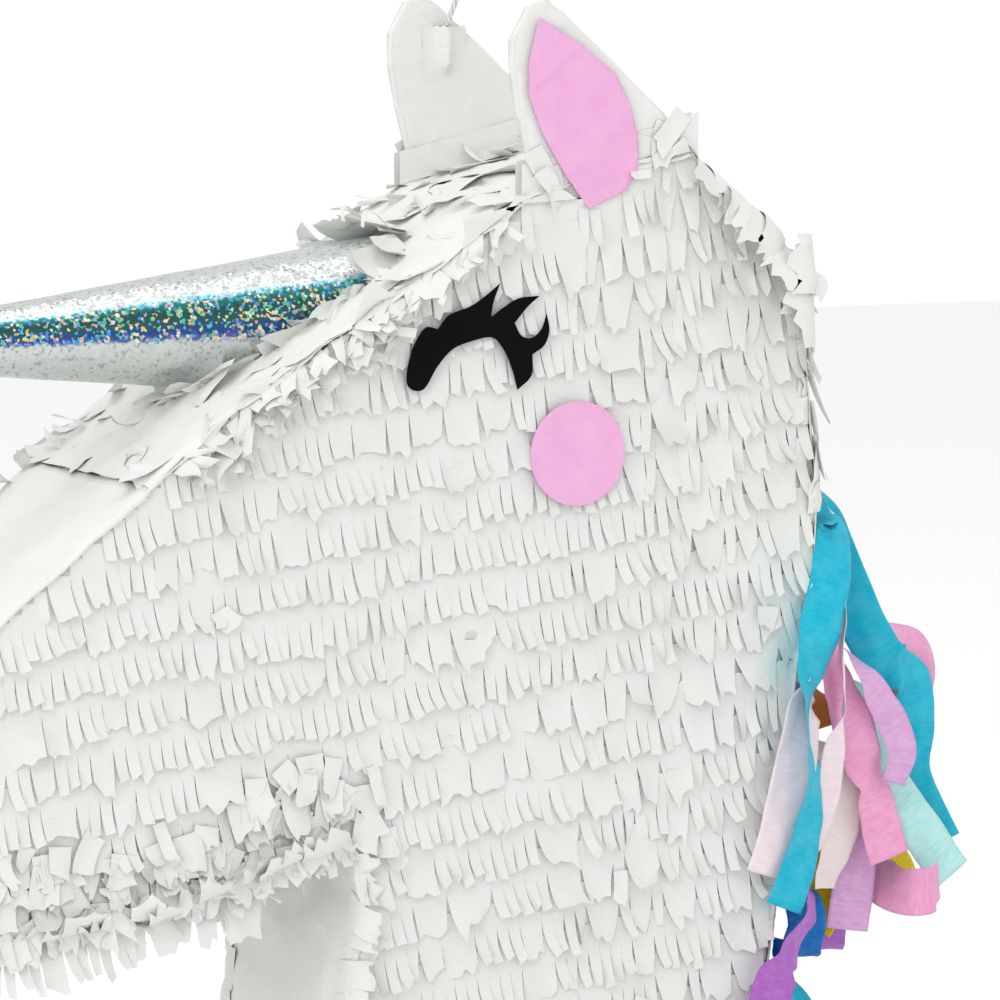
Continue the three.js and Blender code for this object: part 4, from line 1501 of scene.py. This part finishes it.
@dataclass
class FillFlap:
    """The tissue on the fill flap and round the hole that it closes.

    Attributes:
        fold: distance of its fold from the poll corner.
        length: of the flap.
        half_width: of the flap.
        set_back: how far the sheets round it end from it, as a share of the run.
        bare: how far below the fold its own sheet stops, as a share of the run.
        rows_from: how far above its lower edge its rows start, as a share of the run.
        rows_to: how far below the fold they stop, as a share of the run.
    """

    fold: float = 0.006
    length: float = 0.046
    half_width: float = 0.032
    set_back: float = 0.008
    bare: float = 0.05
    rows_from: float = 0.18
    rows_to: float = 0.06

    def build(self) -> None:
        """Builds the flap's own rows and those round it."""
        rim = Rim(RUNS["crest_upper"])
        top = (rim.length - self.fold) / rim.length
        low = (rim.length - self.fold - self.length) / rim.length
        edge = self.half_width + 0.0008
        around = Workbench()
        reach = RimCover.half_width + RimCover.fold
        below, above = low - self.set_back, top + self.set_back
        for start, stop, low_y, high_y in (
            (0.0, below, -1.0, 1.0),
            (above, 1.0, -1.0, 1.0),
            (below, above, -1.0, -edge / reach),
            (below, above, edge / reach, 1.0),
        ):
            RimCover("crest_upper", start=start, stop=stop, low_y=low_y, high_y=high_y).lay(around)
        around.finish("crest_upper_sheet", SMOOTH_TISSUE, "white_tissue", thickness=0.00015)
        rows = Workbench()
        RimFringe(
            "crest_upper",
            backwards=True,
            lift=0.14,
            spread=0.08,
            curl=0.1,
            seed=41,
            skip=lambda spot: abs(spot.y) < edge + 0.003 and spot.z > rim.at(low * rim.length)[0].z - 0.002,
        ).lay(rows)
        rows.finish("crest_upper_rows", TISSUE, "white_tissue", ["crest_upper_fringe"])
        flap = Workbench()
        half = self.half_width / reach
        RimCover("crest_upper", start=low, stop=top - self.bare, low_y=-half, high_y=half).lay(flap)
        RimFringe(
            "crest_upper",
            backwards=True,
            lift=0.12,
            spread=0.05,
            curl=0.05,
            half_width=self.half_width - 0.003,
            lean_spread=0.05,
            finger_length=0.015,
            row_pitch=0.011,
            seed=42,
            low=low + self.rows_from,
            high=top - self.rows_to,
        ).lay(flap)
        flap.finish("fill_flap_rows", TISSUE, "white_tissue", ["fill_flap_fringe"], body=Body.FLAP)


# ---------------------------------------------------------------------------------------------
# Paper shapes
# ---------------------------------------------------------------------------------------------


@dataclass(frozen=True)
class CrumpledCopy:
    """A flat paper piece with a fine grid cut in it and gentle wrinkles.

    Attributes:
        node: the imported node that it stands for.
        name: the piece's name.
        finish: its paper.
        slot: the record's material slot.
        pitch: size of the grid.
        wrinkle: height of the wrinkles.
        scale: wrinkles for each metre.
        lift: how far it is moved out from the middle plane.
        creases: a point of each crease and its angle from X, in degrees.
    """

    node: str
    name: str
    finish: PaperFinish
    slot: str
    pitch: float = 0.0025
    wrinkle: float = 0.0003
    scale: float = 90.0
    lift: float = 0.0
    creases: tuple[tuple[float, float, float], ...] = ()

    def crease_height(self, x: float, z: float) -> float:
        """Height of the creases at this place."""
        height = 0.0
        for crease_x, crease_z, angle in self.creases:
            turn = math.radians(angle)
            away = (z - crease_z) * math.cos(turn) - (x - crease_x) * math.sin(turn)
            height += 0.00045 * math.exp(-((away / 0.0011) ** 2)) + (0.00025 if away > 0 else 0.0)
        return height

    def build(self) -> None:
        """Builds the piece."""
        bench = Workbench()
        mesh = bench.mesh
        mesh.from_mesh(bpy.data.objects[self.node].data)
        bmesh.ops.remove_doubles(mesh, verts=mesh.verts, dist=1e-6)
        low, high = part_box(self.node)
        for axis in (0, 2):
            normal = Vector((axis == 0, 0, axis == 2))
            cut = low[axis] + self.pitch
            while cut < high[axis]:
                bmesh.ops.bisect_plane(
                    mesh,
                    geom=[*mesh.verts, *mesh.edges, *mesh.faces],
                    plane_co=normal * cut,
                    plane_no=normal,
                )
                cut += self.pitch
        bmesh.ops.triangulate(mesh, faces=mesh.faces)
        for vertex in mesh.verts:
            x, _, z = vertex.co * self.scale
            raised = self.lift + self.crease_height(vertex.co.x, vertex.co.z)
            vertex.co.y += math.copysign(raised, vertex.co.y)
            vertex.co.y += self.wrinkle * (sway(x * 0.4, z, 3.0) + 0.5 * sway(x * 1.1, z * 2.2, 8.0))
        piece = bench.finish(self.name, self.finish, self.slot, [self.node])
        piece.data.shade_flat()
        piece.data.set_sharp_from_angle(angle=math.radians(50))


@dataclass
class Eyelashes:
    """A closed eye cut from black paper, with curved lashes.

    Attributes:
        side: the side of the head.
        inner: distance of its back from the middle plane.
        thickness: of the paper.
        outline: its corners, in millimetres.
        tips: numbers of the corners that are points.
    """

    side: Side
    inner: float = 0.0546
    thickness: float = 0.0005
    outline: tuple[Point, ...] = (
        (-54, 298), (-53.4, 305), (-50.6, 312.5), (-46.5, 317.4), (-42, 316.6), (-38, 321.2), (-29, 324.3),
        (-23, 328), (-18, 331.8), (-20.6, 325.5), (-21.6, 320), (-16.5, 323.4), (-10.5, 326.4), (-2.6, 327),
        (-7, 323.6), (-12.4, 317.8), (-9.6, 313.2), (-5.6, 312.4), (-1.8, 315.2), (0.2, 320.6), (1.2, 315),
        (-0.6, 309.8), (-5.4, 306.6), (-5.8, 299.2), (-11.2, 294.4), (-13, 301), (-17, 309.4), (-21, 313),
        (-29, 312), (-36.5, 309.4), (-42.5, 303.4), (-47.8, 295.8), (-51.5, 295.6),
    )
    tips: tuple[int, ...] = (4, 8, 10, 13, 15, 19, 22, 24)

    def build(self) -> None:
        """Builds the paper."""
        corners = [Vector((x * MM, 0, z * MM)) for x, z in self.outline]
        count = len(corners)
        line = []
        for k in range(count):
            a, b = corners[k], corners[(k + 1) % count]
            before = a * 2 - b if k in self.tips else corners[k - 1]
            after = b * 2 - a if (k + 1) % count in self.tips else corners[(k + 2) % count]
            line += [through((before, a, b, after), i / 5) for i in range(5)]
        bench = Workbench()
        mesh = bench.mesh
        ring = [mesh.verts.new(spot + ACROSS * self.inner * self.side.value) for spot in line]
        face = mesh.faces.new(ring)
        raised = bmesh.ops.extrude_face_region(mesh, geom=[face])
        fresh = [item for item in raised["geom"] if isinstance(item, bmesh.types.BMVert)]
        bmesh.ops.translate(mesh, verts=fresh, vec=ACROSS * self.thickness * self.side.value)
        bmesh.ops.triangulate(mesh, faces=mesh.faces)
        bmesh.ops.recalc_face_normals(mesh, faces=mesh.faces)
        word = self.side.word
        piece = bench.finish(f"{word}_eyelash_paper", EYE_PAPER, "black_paper", [f"{word}_eyelashes"])
        piece.data.shade_flat()


@dataclass
class EarFoot:
    """Tissue glued over the joint of an ear and the head, with torn scraps round it, and a patch over the cord's end.

    Attributes:
        side: the side of the head.
        skin: distance of the ear's outer tissue from the middle plane.
        inner_skin: distance of its inner tissue.
        start: where it starts along X.
        end: where it ends.
    """

    side: Side
    skin: float = 0.0517
    inner_skin: float = 0.0467
    start: float = -0.008
    end: float = 0.062

    def rim_height(self, x: float) -> float:
        """Height of the head's outline under the ear."""
        (first_x, first_z), (last_x, last_z) = RUNS["forehead"][1], RUNS["forehead"][0]
        return first_z + (last_z - first_z) * (x - first_x) / (last_x - first_x)

    def build(self) -> None:
        """Builds the sheet, the scraps and the patch."""
        sheet = Workbench()

        def place(across: float, along: float) -> Vector:
            """A point of the sheet."""
            x = self.start + (self.end - self.start) * (across + 0.5)
            z = self.rim_height(x) + 0.013 - 0.03 * along + 0.002 * sway(x * 90, 4.0)
            return Vector((x, self.side.value * (self.skin + 0.0001 * sway(x * 200, z * 200)), z))

        sheet.lay(24, 10, (self.end - self.start, 0.03), place)

        def inner_place(across: float, along: float) -> Vector:
            """A point of the sheet on the ear's inner face."""
            x = self.start + (self.end - self.start) * (across + 0.5)
            z = self.rim_height(x) + 0.014 - 0.012 * along
            return Vector((x, self.side.value * (self.inner_skin + 0.0001 * sway(x * 200, z * 200)), z))

        sheet.lay(24, 5, (self.end - self.start, 0.012), inner_place)
        pick = random.Random(61)
        for x, z, angle in (
            (-0.004, 0.372, 0.5), (0.003, 0.366, 0.2), (0.041, 0.376, -0.2), (0.05, 0.38, -0.4), (0.056, 0.384, -0.7),
        ):
            Strip(
                origin=Vector((x, self.side.value * (self.skin + 0.0003), z + 0.006)),
                down=-UP,
                side=Vector((1, 0, 0)),
                out=ACROSS * self.side.value,
                length=pick.uniform(0.012, 0.018),
                width=pick.uniform(0.007, 0.01),
                lean=angle,
                bend=pick.gauss(0, 0.2),
                lift=0.08,
                curl=pick.uniform(0.1, 0.5),
                twist=pick.gauss(0, 0.3),
                taper=pick.uniform(-0.1, 0.2),
                slant=pick.gauss(0, 0.3),
                ragged=0.003,
                columns=4,
            ).lay(sheet)
        sheet.finish(f"{self.side.word}_ear_foot", SMOOTH_TISSUE, "white_tissue")
        tab = f"{self.side.word}_cord_tab"
        low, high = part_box(tab)
        middle = (low + high) / 2
        inner = min(abs(low.y), abs(high.y))
        outer = max(abs(low.y), abs(high.y))
        patch = Workbench()

        def cover(across: float, along: float) -> Vector:
            """A point of the patch over the cord's end."""
            tuck = min(1.0, max(0.0, (0.94 - along) * 4))
            ridge = math.exp(-((across * 0.0175 / 0.0028) ** 2)) * tuck
            y = outer + 0.0002 - (outer - inner + 0.0008) * ridge + 0.00012 * sway(across * 9, along * 9)
            x = middle.x + across * (0.0175 + 0.0016 * sway(along * 13, 2.0)) + 0.0006 * sway(along * 31, across)
            z = middle.z + 0.0088 - 0.0195 * along + 0.0009 * sway(across * 17, along)
            return Vector((x, self.side.value * y, z))

        patch.lay(28, 24, (0.0175, 0.0195), cover)
        patch.finish(f"{self.side.word}_cord_patch", SMOOTH_TISSUE, "white_tissue", [tab])


# ---------------------------------------------------------------------------------------------
# Hanging cord
# ---------------------------------------------------------------------------------------------


@dataclass
class HangingCord:
    """The cord between the ears.

    Attributes:
        x: the plane that it hangs in.
        apex: height of its highest point.
        half: one half of it from the apex down, as distance from the middle plane and height.
        diameter: of the cord.
    """

    x: float = 0.010
    apex: float = 0.467
    diameter: float = 0.002
    half: tuple[Point, ...] = (
        (0.0022, 0.466), (0.006, 0.4624), (0.012, 0.4558), (0.018, 0.4492), (0.024, 0.4426), (0.030, 0.436),
        (0.036, 0.4294), (0.041, 0.4238), (0.044, 0.420), (0.0454, 0.4165), (0.0457, 0.412), (0.0457, 0.407),
    )

    def points(self) -> list[Vector]:
        """Its line from the left ear to the right one."""
        left = [Vector((self.x, -out, z)) for out, z in reversed(self.half)]
        right = [Vector((self.x, out, z)) for out, z in self.half]
        return [*left, Vector((self.x, 0, self.apex)), *right]

    def build(self) -> None:
        line = self.points()
        curve = bpy.data.curves.new("hanging_cord_line", "CURVE")
        curve.dimensions = "3D"
        curve.bevel_depth = self.diameter / 2
        curve.bevel_resolution = 4
        curve.use_fill_caps = True
        spline = curve.splines.new("NURBS")
        spline.points.add(len(line) - 1)
        for control, spot in zip(spline.points, line):
            control.co = (*spot, 1.0)
        spline.order_u = 3
        spline.use_endpoint_u = True
        spline.resolution_u = 6
        curve.materials.append(Workbench.shelf.take(CORD))
        piece = bpy.data.objects.new("hanging_cord_twine", curve)
        bpy.context.scene.collection.objects.link(piece)
        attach(piece, Body.HEAD.value)
        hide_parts("hanging_cord")


# ---------------------------------------------------------------------------------------------
# Mane
# ---------------------------------------------------------------------------------------------

# Each streamer's crepe, its width and its line in millimetres as x, y, z, heading and tilt in degrees,
# after its root on the mane strip. A heading of 90 is along Y.
STREAMERS: dict[str, tuple[str, float, tuple[tuple[float, ...], ...]]] = {
    "cyan_front": ("cyan", 17, (
        (118, -34, 253, 60), (123, -36, 237, -10), (131, -38, 216, -20), (140, -38, 198, -20), (148, -37, 188, 0),
        (157, -34, 184, 25), (162, -33, 178, 10), (162, -33, 162, -10), (162, -31, 147, -5), (166, -32, 133, -10),
        (174, -33, 118, -15),
    )),
    "cyan_edge": ("cyan", 17, (
        (119, -47, 241, 30), (115, -55, 225, 2), (110, -57.5, 207, -2), (105, -59, 191, 24), (103, -60, 177, 56),
        (103, -61.5, 165, 58), (104, -62.5, 151, 46), (102, -61, 131, 22), (98, -61, 117, 12), (93, -61, 104, 10),
    )),
    "pale_edge": ("pale", 17, (
        (110, -47, 188, 80), (108, -54, 182, 55), (102, -58.5, 173, 15), (98, -58.5, 152, 0), (93, -58.5, 133, 0),
        (87, -58.5, 116, 0),
    )),
    "pale_twist": ("pale", 10, (
        (119, -46, 219, 82), (121, -51, 214, 75), (121, -54, 208, 68), (119, -55.5, 197, 70),
        (120, -55.5, 183, 60), (120, -55.5, 174, 68), (116, -55.5, 158, 5), (114, -55.5, 143, 0),
        (109, -55.5, 127, 20), (105, -55.5, 119, 40),
    )),
    "cream": ("cream", 17, (
        (113, -34, 163, 80), (121, -43, 156, 25), (126, -45, 145, 0), (126, -45, 131, 10), (123, -45, 120, 20),
        (120, -45, 113, 30), (119, -45, 107, 35),
    )),
    "pink_fold": ("pink", 17, (
        (114, -44, 204, 80), (117, -48, 201, 45), (118, -50, 196, 35), (119, -49, 190, 35), (123, -48, 180, 20),
        (127, -49, 169, 0), (131, -49.5, 156, 0), (136, -48, 146, 30), (138, -48, 138, 10), (141, -48, 127, 0),
        (144, -48, 117, 0),
    )),
    "lilac_loop": ("lilac", 12, (
        (115, -33, 189, 88), (121, -34, 194, 84), (127, -36, 195, 75), (130.5, -43, 192, 66),
        (132.5, -51, 186, 25), (137, -53, 176, 5), (142, -53, 168, 0), (146, -53, 156, 0), (143, -52, 145, 15),
    )),
    "pink_back": ("pink", 17, (
        (122, -5, 201, 88), (143, -10, 202, 75), (157, -18, 199, 50), (166, -23, 192, 15), (168, -24, 181, 0),
        (164, -25, 168, 0), (159, -25, 154, 0), (154, -25, 144, 0),
    )),
    "mint_front": ("mint", 17, (
        (116, -13, 178, 88), (128, -17, 181, 80), (138, -23, 180, 45), (143, -29, 172, 5), (143.5, -31.5, 160, 0),
        (145, -36, 149, 3), (151, -40, 140, 2), (157, -43, 130, 0), (165, -43, 119, 0), (173, -43, 108, 0),
    )),
    "mint_back": ("mint", 17, (
        (116, -3, 165, 90), (127, -6, 160, 80), (137, -16, 145, 40), (142, -24, 132, 10), (143, -26, 124, 15),
    )),
    "lilac_hang": ("lilac", 17, (
        (114, -22, 158, 88), (123, -26, 156, 72), (131, -31, 144, 30), (135, -35, 128, 0), (136, -37, 114, 0),
        (134, -38, 102, 0), (132, -38, 90, 0),
    )),
    "yellow_curl": ("yellow", 17, (
        (112, -27, 141, 88), (120, -29, 138, 72), (123, -32, 127, 45), (123, -30, 116, 15), (124, -29, 107, 0),
        (127, -30, 98, -12), (133, -32, 93, -10),
    )),
    "yellow_back": ("yellow", 17, (
        (116, 3, 150, 90), (130, 0, 148, 80), (147, -6, 132, 40), (158, -10, 118, 15), (167, -12, 107, 5),
        (170, -13, 96, 0),
    )),
    "pink_curl": ("pink", 17, (
        (112, -5, 139, 90, 0), (124, -7, 138, 80, 0), (134, -15, 124, 50, 10), (146, -25, 112, 25, 35),
        (149, -38, 105, 10, 65), (152, -50, 104, 0, 80), (158, -53, 105, 0, 85), (164, -49, 108, 0, 80),
    )),
    "blue_curl": ("blue", 17, (
        (108, -34, 111, 82), (111, -40, 104, 12), (114, -40, 95, 5), (113, -39, 88, 0), (113, -36, 82, 0),
        (115, -30, 81, 0), (117, -26, 85, 0),
    )),
    "violet_curl": ("violet", 17, (
        (112, -9, 113, 88), (121, -14, 110, 65), (129, -21, 99, 20), (131, -24, 88, 0), (132, -21, 81, 0),
        (134, -15, 79, 0), (135, -11, 83, 0),
    )),
    "violet_ribbon": ("violet", 17, (
        (106, -44, 113, 80), (110, -50, 107, 60), (108, -54, 100, 45), (101, -57, 92, 42), (95, -60, 85, 30),
        (91, -60, 79, 0), (87, -60, 69, 0), (83, -60, 60, 0), (81, -60, 52, 0),
    )),
    "orange": ("orange", 17, (
        (113, -30, 182, 88), (118, -34, 179, 50), (120, -37, 173, 15), (122, -38, 165, 0),
    )),
    "cyan_low": ("cyan", 17, (
        (105, -20, 78, 88), (114, -24, 70, 50), (118, -26, 58, 10), (121, -28, 42, 0), (118, -27, 26, 0),
    )),
    "blue_far": ("blue", 17, (
        (121, 25, 239, 90), (130, 28, 226, 130), (139, 32, 204, 165), (146, 34, 172, 180), (150, 33, 140, 185),
        (154, 32, 110, 175),
    )),
    "lilac_far": ("lilac", 17, (
        (117, 38, 213, 90), (126, 44, 200, 135), (132, 48, 176, 175), (134, 48, 148, 190), (130, 47, 120, 180),
    )),
    "mint_far": ("mint", 17, (
        (112, 24, 152, 90), (122, 29, 148, 115), (131, 37, 130, 160), (136, 40, 104, 180), (134, 40, 78, 180),
    )),
}


@dataclass
class Streamer:
    """A crepe ribbon of the mane, glued to the mane strip at its root.

    Attributes:
        name: its colour word and place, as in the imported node's name.
        crepe: which crepe it is cut from.
        width: its width.
        route: its line after the root.
        lift: distance from the card to the root's glue line.
        glued_tail: length that runs on up the crest above the root.
    """

    name: str
    crepe: str
    width: float
    route: tuple[tuple[float, ...], ...]
    lift: float = 0.0047
    glued_tail: float = 0.0

    def stations(self) -> list[tuple[Vector, float, float]]:
        """Its points in metres with heading and tilt in radians, from the root."""
        crest = Rim(RUNS["crest_lower"])
        first = self.route[0]
        z = first[2] * MM
        k = next(i for i, (_, high) in enumerate(crest.points[1:]) if high >= z)
        (x, low), (next_x, high) = crest.points[k : k + 2]
        x += (next_x - x) * (z - low) / (high - low)
        found = [(Vector((x + self.lift, first[1] * MM, z)), math.pi / 2, 0.0)]
        if self.glued_tail:
            found.insert(0, (found[0][0] + UP * self.glued_tail, math.pi / 2, 0.0))
        for step in self.route:
            tilt = step[4] if len(step) > 4 else 0.0
            found.append((Vector(step[:3]) * MM, math.radians(step[3]), math.radians(tilt)))
        return found

    def path(self, steps: int = 10) -> list[tuple[Vector, float, float]]:
        """Its smooth line with heading and tilt."""
        stops = self.stations()
        spots = [stop[0] for stop in stops]
        spots = [spots[0] * 2 - spots[1], *spots, spots[-1] * 2 - spots[-2]]
        found = []
        for k in range(len(stops) - 1):
            for i in range(steps + (k == len(stops) - 2)):
                share = i / steps
                eased = share * share * (3 - 2 * share)
                turns = [stops[k][n] + (stops[k + 1][n] - stops[k][n]) * eased for n in (1, 2)]
                found.append((through(spots[k : k + 4], share), *turns))
        return found

    def build(self) -> None:
        line = self.path()
        count = len(line) - 1
        spots = [spot for spot, _, _ in line]
        marks = [0.0]
        for a, b in zip(spots, spots[1:]):
            marks.append(marks[-1] + (b - a).length)
        frames = []
        for k, (spot, heading, tilt) in enumerate(line):
            ahead = (spots[min(k + 1, count)] - spots[max(k - 1, 0)]).normalized()
            width = Vector((math.cos(heading) * math.cos(tilt), math.sin(heading) * math.cos(tilt), math.sin(tilt)))
            width = (width - ahead * width.dot(ahead)).normalized()
            frames.append((spot, width, width.cross(ahead)))
        kind = sum(map(ord, self.name))
        wide = self.width * MM

        def place(across: float, along: float) -> Vector:
            """A point of the ribbon."""
            k = round(along * count)
            spot, width, face = frames[k]
            far = marks[k]
            loose = min(1.0, far / 0.012)
            bow = 0.05 * wide * (0.25 - across * across) * 4 * math.sin(far * 40 + kind)
            crinkle = 0.00035 * sway(far * 170, across * 4, kind) + 0.0006 * sway(far * 45, across * 2, kind + 0.5)
            wander = 0.03 * wide * sway(far * 60, kind, 2.0 + across)
            return spot + width * (across * wide + wander * loose) + face * ((bow + crinkle) * loose)

        bench = Workbench()
        bench.lay(12, count, (wide, marks[-1]), place)
        node = f"mane_{self.name}"
        piece = bench.finish(f"{node}_ribbon", CREPES[self.crepe], f"crepe_{self.crepe}", [node], 0.0001)
        log.info("%s: %.0f x %.0f mm", node, self.width, marks[-1] / MM)


@dataclass
class Mane:
    """Every ribbon of the mane."""

    def build(self) -> None:
        """Builds the ribbons in order."""
        for name, (crepe, width, route) in STREAMERS.items():
            Streamer(name, crepe, width, route, glued_tail=0.008 if name == "cyan_front" else 0.0).build()


# ---------------------------------------------------------------------------------------------
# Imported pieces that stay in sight
# ---------------------------------------------------------------------------------------------


@dataclass(frozen=True)
class PackedFinish:
    """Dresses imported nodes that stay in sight.

    Attributes:
        finish: their paper or card.
        nodes: their names.
    """

    finish: object
    nodes: tuple[str, ...]

    def dress(self) -> None:
        """Gives each node its material."""
        for name in self.nodes:
            data = bpy.data.objects[name].data
            data.materials.clear()
            data.materials.append(Workbench.shelf.take(self.finish))


PACKED = (
    PackedFinish(
        CARD,
        (
            "left_side_panel", "right_side_panel", "base_band", "crest_lower_band", "crest_upper_band", "poll_band",
            "forehead_band", "nose_bridge_band", "muzzle_band", "jaw_band", "neck_front_band", "fill_flap",
        ),
    ),
    PackedFinish(STRIP_CREPE, ("mane_strip",)),
)

EAR_CREASES = ((-0.007, 0.3976, 36.6), (0.0345, 0.37, 62.0), (0.02, 0.3665, 12.0))


def both_sides(part: str, name: str, finish: PaperFinish, slot: str, **shape: object) -> tuple[CrumpledCopy, ...]:
    """The wrinkled copies of a paper piece on the left and on the right.

    Args:
        part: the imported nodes' name without the side.
        name: the pieces' name without the side.
        finish: their paper.
        slot: the record's material slot.
        shape: other values for both.

    Returns:
        The left copy and the right one.
    """
    return tuple(CrumpledCopy(f"{side}_{part}", f"{side}_{name}", finish, slot, **shape) for side in ("left", "right"))


COPIES = (
    *both_sides("ear_tissue", "ear_wrap", SMOOTH_TISSUE, "white_tissue", pitch=0.0035, wrinkle=0.0005),
    *both_sides("cheek", "cheek_paper", PINK_PAPER, "pink_paper", pitch=0.0012, wrinkle=0.00022, scale=190.0),
    *both_sides(
        "ear_patch", "ear_patch_paper", PINK_PAPER, "pink_paper", pitch=0.0012, lift=0.0006, creases=EAR_CREASES
    ),
)


# ---------------------------------------------------------------------------------------------
# Studio
# ---------------------------------------------------------------------------------------------


@dataclass
class Studio:
    """Floor, light and camera.

    Attributes:
        target: what the camera and the lamps face.
        azimuth: the camera's turn round the head, in degrees.
        elevation: its rise, in degrees.
        distance: from the target.
        lens: its focal length, in millimetres.
    """

    target: Vector = field(default_factory=lambda: Vector((-0.016, -0.0508, 0.2555)))
    azimuth: float = -26.5
    elevation: float = 5.7
    distance: float = 2.2
    lens: float = 226.0

    def camera(self) -> None:
        """Places the camera."""
        data = bpy.data.cameras.new("view_camera")
        data.lens = self.lens
        data.sensor_width = 36.0
        data.dof.use_dof = False
        camera = bpy.data.objects.new("view_camera", data)
        bpy.context.scene.collection.objects.link(camera)
        turn, rise = math.radians(self.azimuth), math.radians(self.elevation)
        away = Vector((math.sin(turn) * math.cos(rise), -math.cos(turn) * math.cos(rise), math.sin(rise)))
        camera.location = self.target + away * self.distance
        camera.rotation_euler = (-away).to_track_quat("-Z", "Y").to_euler()
        bpy.context.scene.camera = camera

    def light(self, name: str, place: tuple[float, float, float], size: float, power: float) -> None:
        """Adds a soft square lamp that faces the head."""
        data = bpy.data.lights.new(name, "AREA")
        data.size = size
        data.energy = power
        lamp = bpy.data.objects.new(name, data)
        bpy.context.scene.collection.objects.link(lamp)
        lamp.location = place
        lamp.rotation_euler = (self.target - Vector(place)).to_track_quat("-Z", "Y").to_euler()

    def floor(self) -> None:
        """Lays a pale floor."""
        data = bpy.data.meshes.new("floor")
        mesh = bmesh.new()
        bmesh.ops.create_grid(mesh, x_segments=1, y_segments=1, size=4.0)
        mesh.to_mesh(data)
        mesh.free()
        plane = bpy.data.objects.new("floor", data)
        bpy.context.scene.collection.objects.link(plane)
        material, _, shader, _ = start_material("pale_floor", 0.9)
        shader.inputs["Base Color"].default_value = (0.98, 0.98, 0.98, 1.0)
        data.materials.append(material)

    def build(self) -> None:
        """Builds the studio."""
        self.camera()
        self.floor()
        self.light("window", (-1.5, -1.6, 1.9), 0.9, 9.0)
        self.light("low_fill", (-1.9, -0.9, 0.35), 0.8, 4.0)
        self.light("ceiling", (-0.2, 0.0, 2.3), 1.2, 8.0)
        world = bpy.data.worlds.new("pale_room")
        world.use_nodes = True
        bench = NodeBench(world.node_tree)
        sky = world.node_tree.nodes["Background"]
        sky.inputs["Color"].default_value = (1.0, 1.0, 1.0, 1.0)
        seen = bench.add("ShaderNodeLightPath").outputs["Is Camera Ray"]
        bench.link(bench.math("MULTIPLY_ADD", seen, 0.1, 0.93), sky.inputs["Strength"])
        scene = bpy.context.scene
        scene.world = world
        scene.view_settings.view_transform = "Standard"


def main() -> None:
    """Builds every piece in order."""
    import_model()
    Studio().build()
    HangingCord().build()
    for packed in PACKED:
        packed.dress()
    horn = Horn()
    horn.build()
    for copy in COPIES:
        copy.build()
    for side in Side:
        SideFringe(side).build()
        Eyelashes(side).build()
        EarFoot(side).build()
    Forehead(horn).build()
    Rims().build()
    FillFlap().build()
    Mane().build()


if __name__ == "__main__":
    logging.basicConfig(level=logging.INFO, format="%(name)s: %(message)s")
    main()
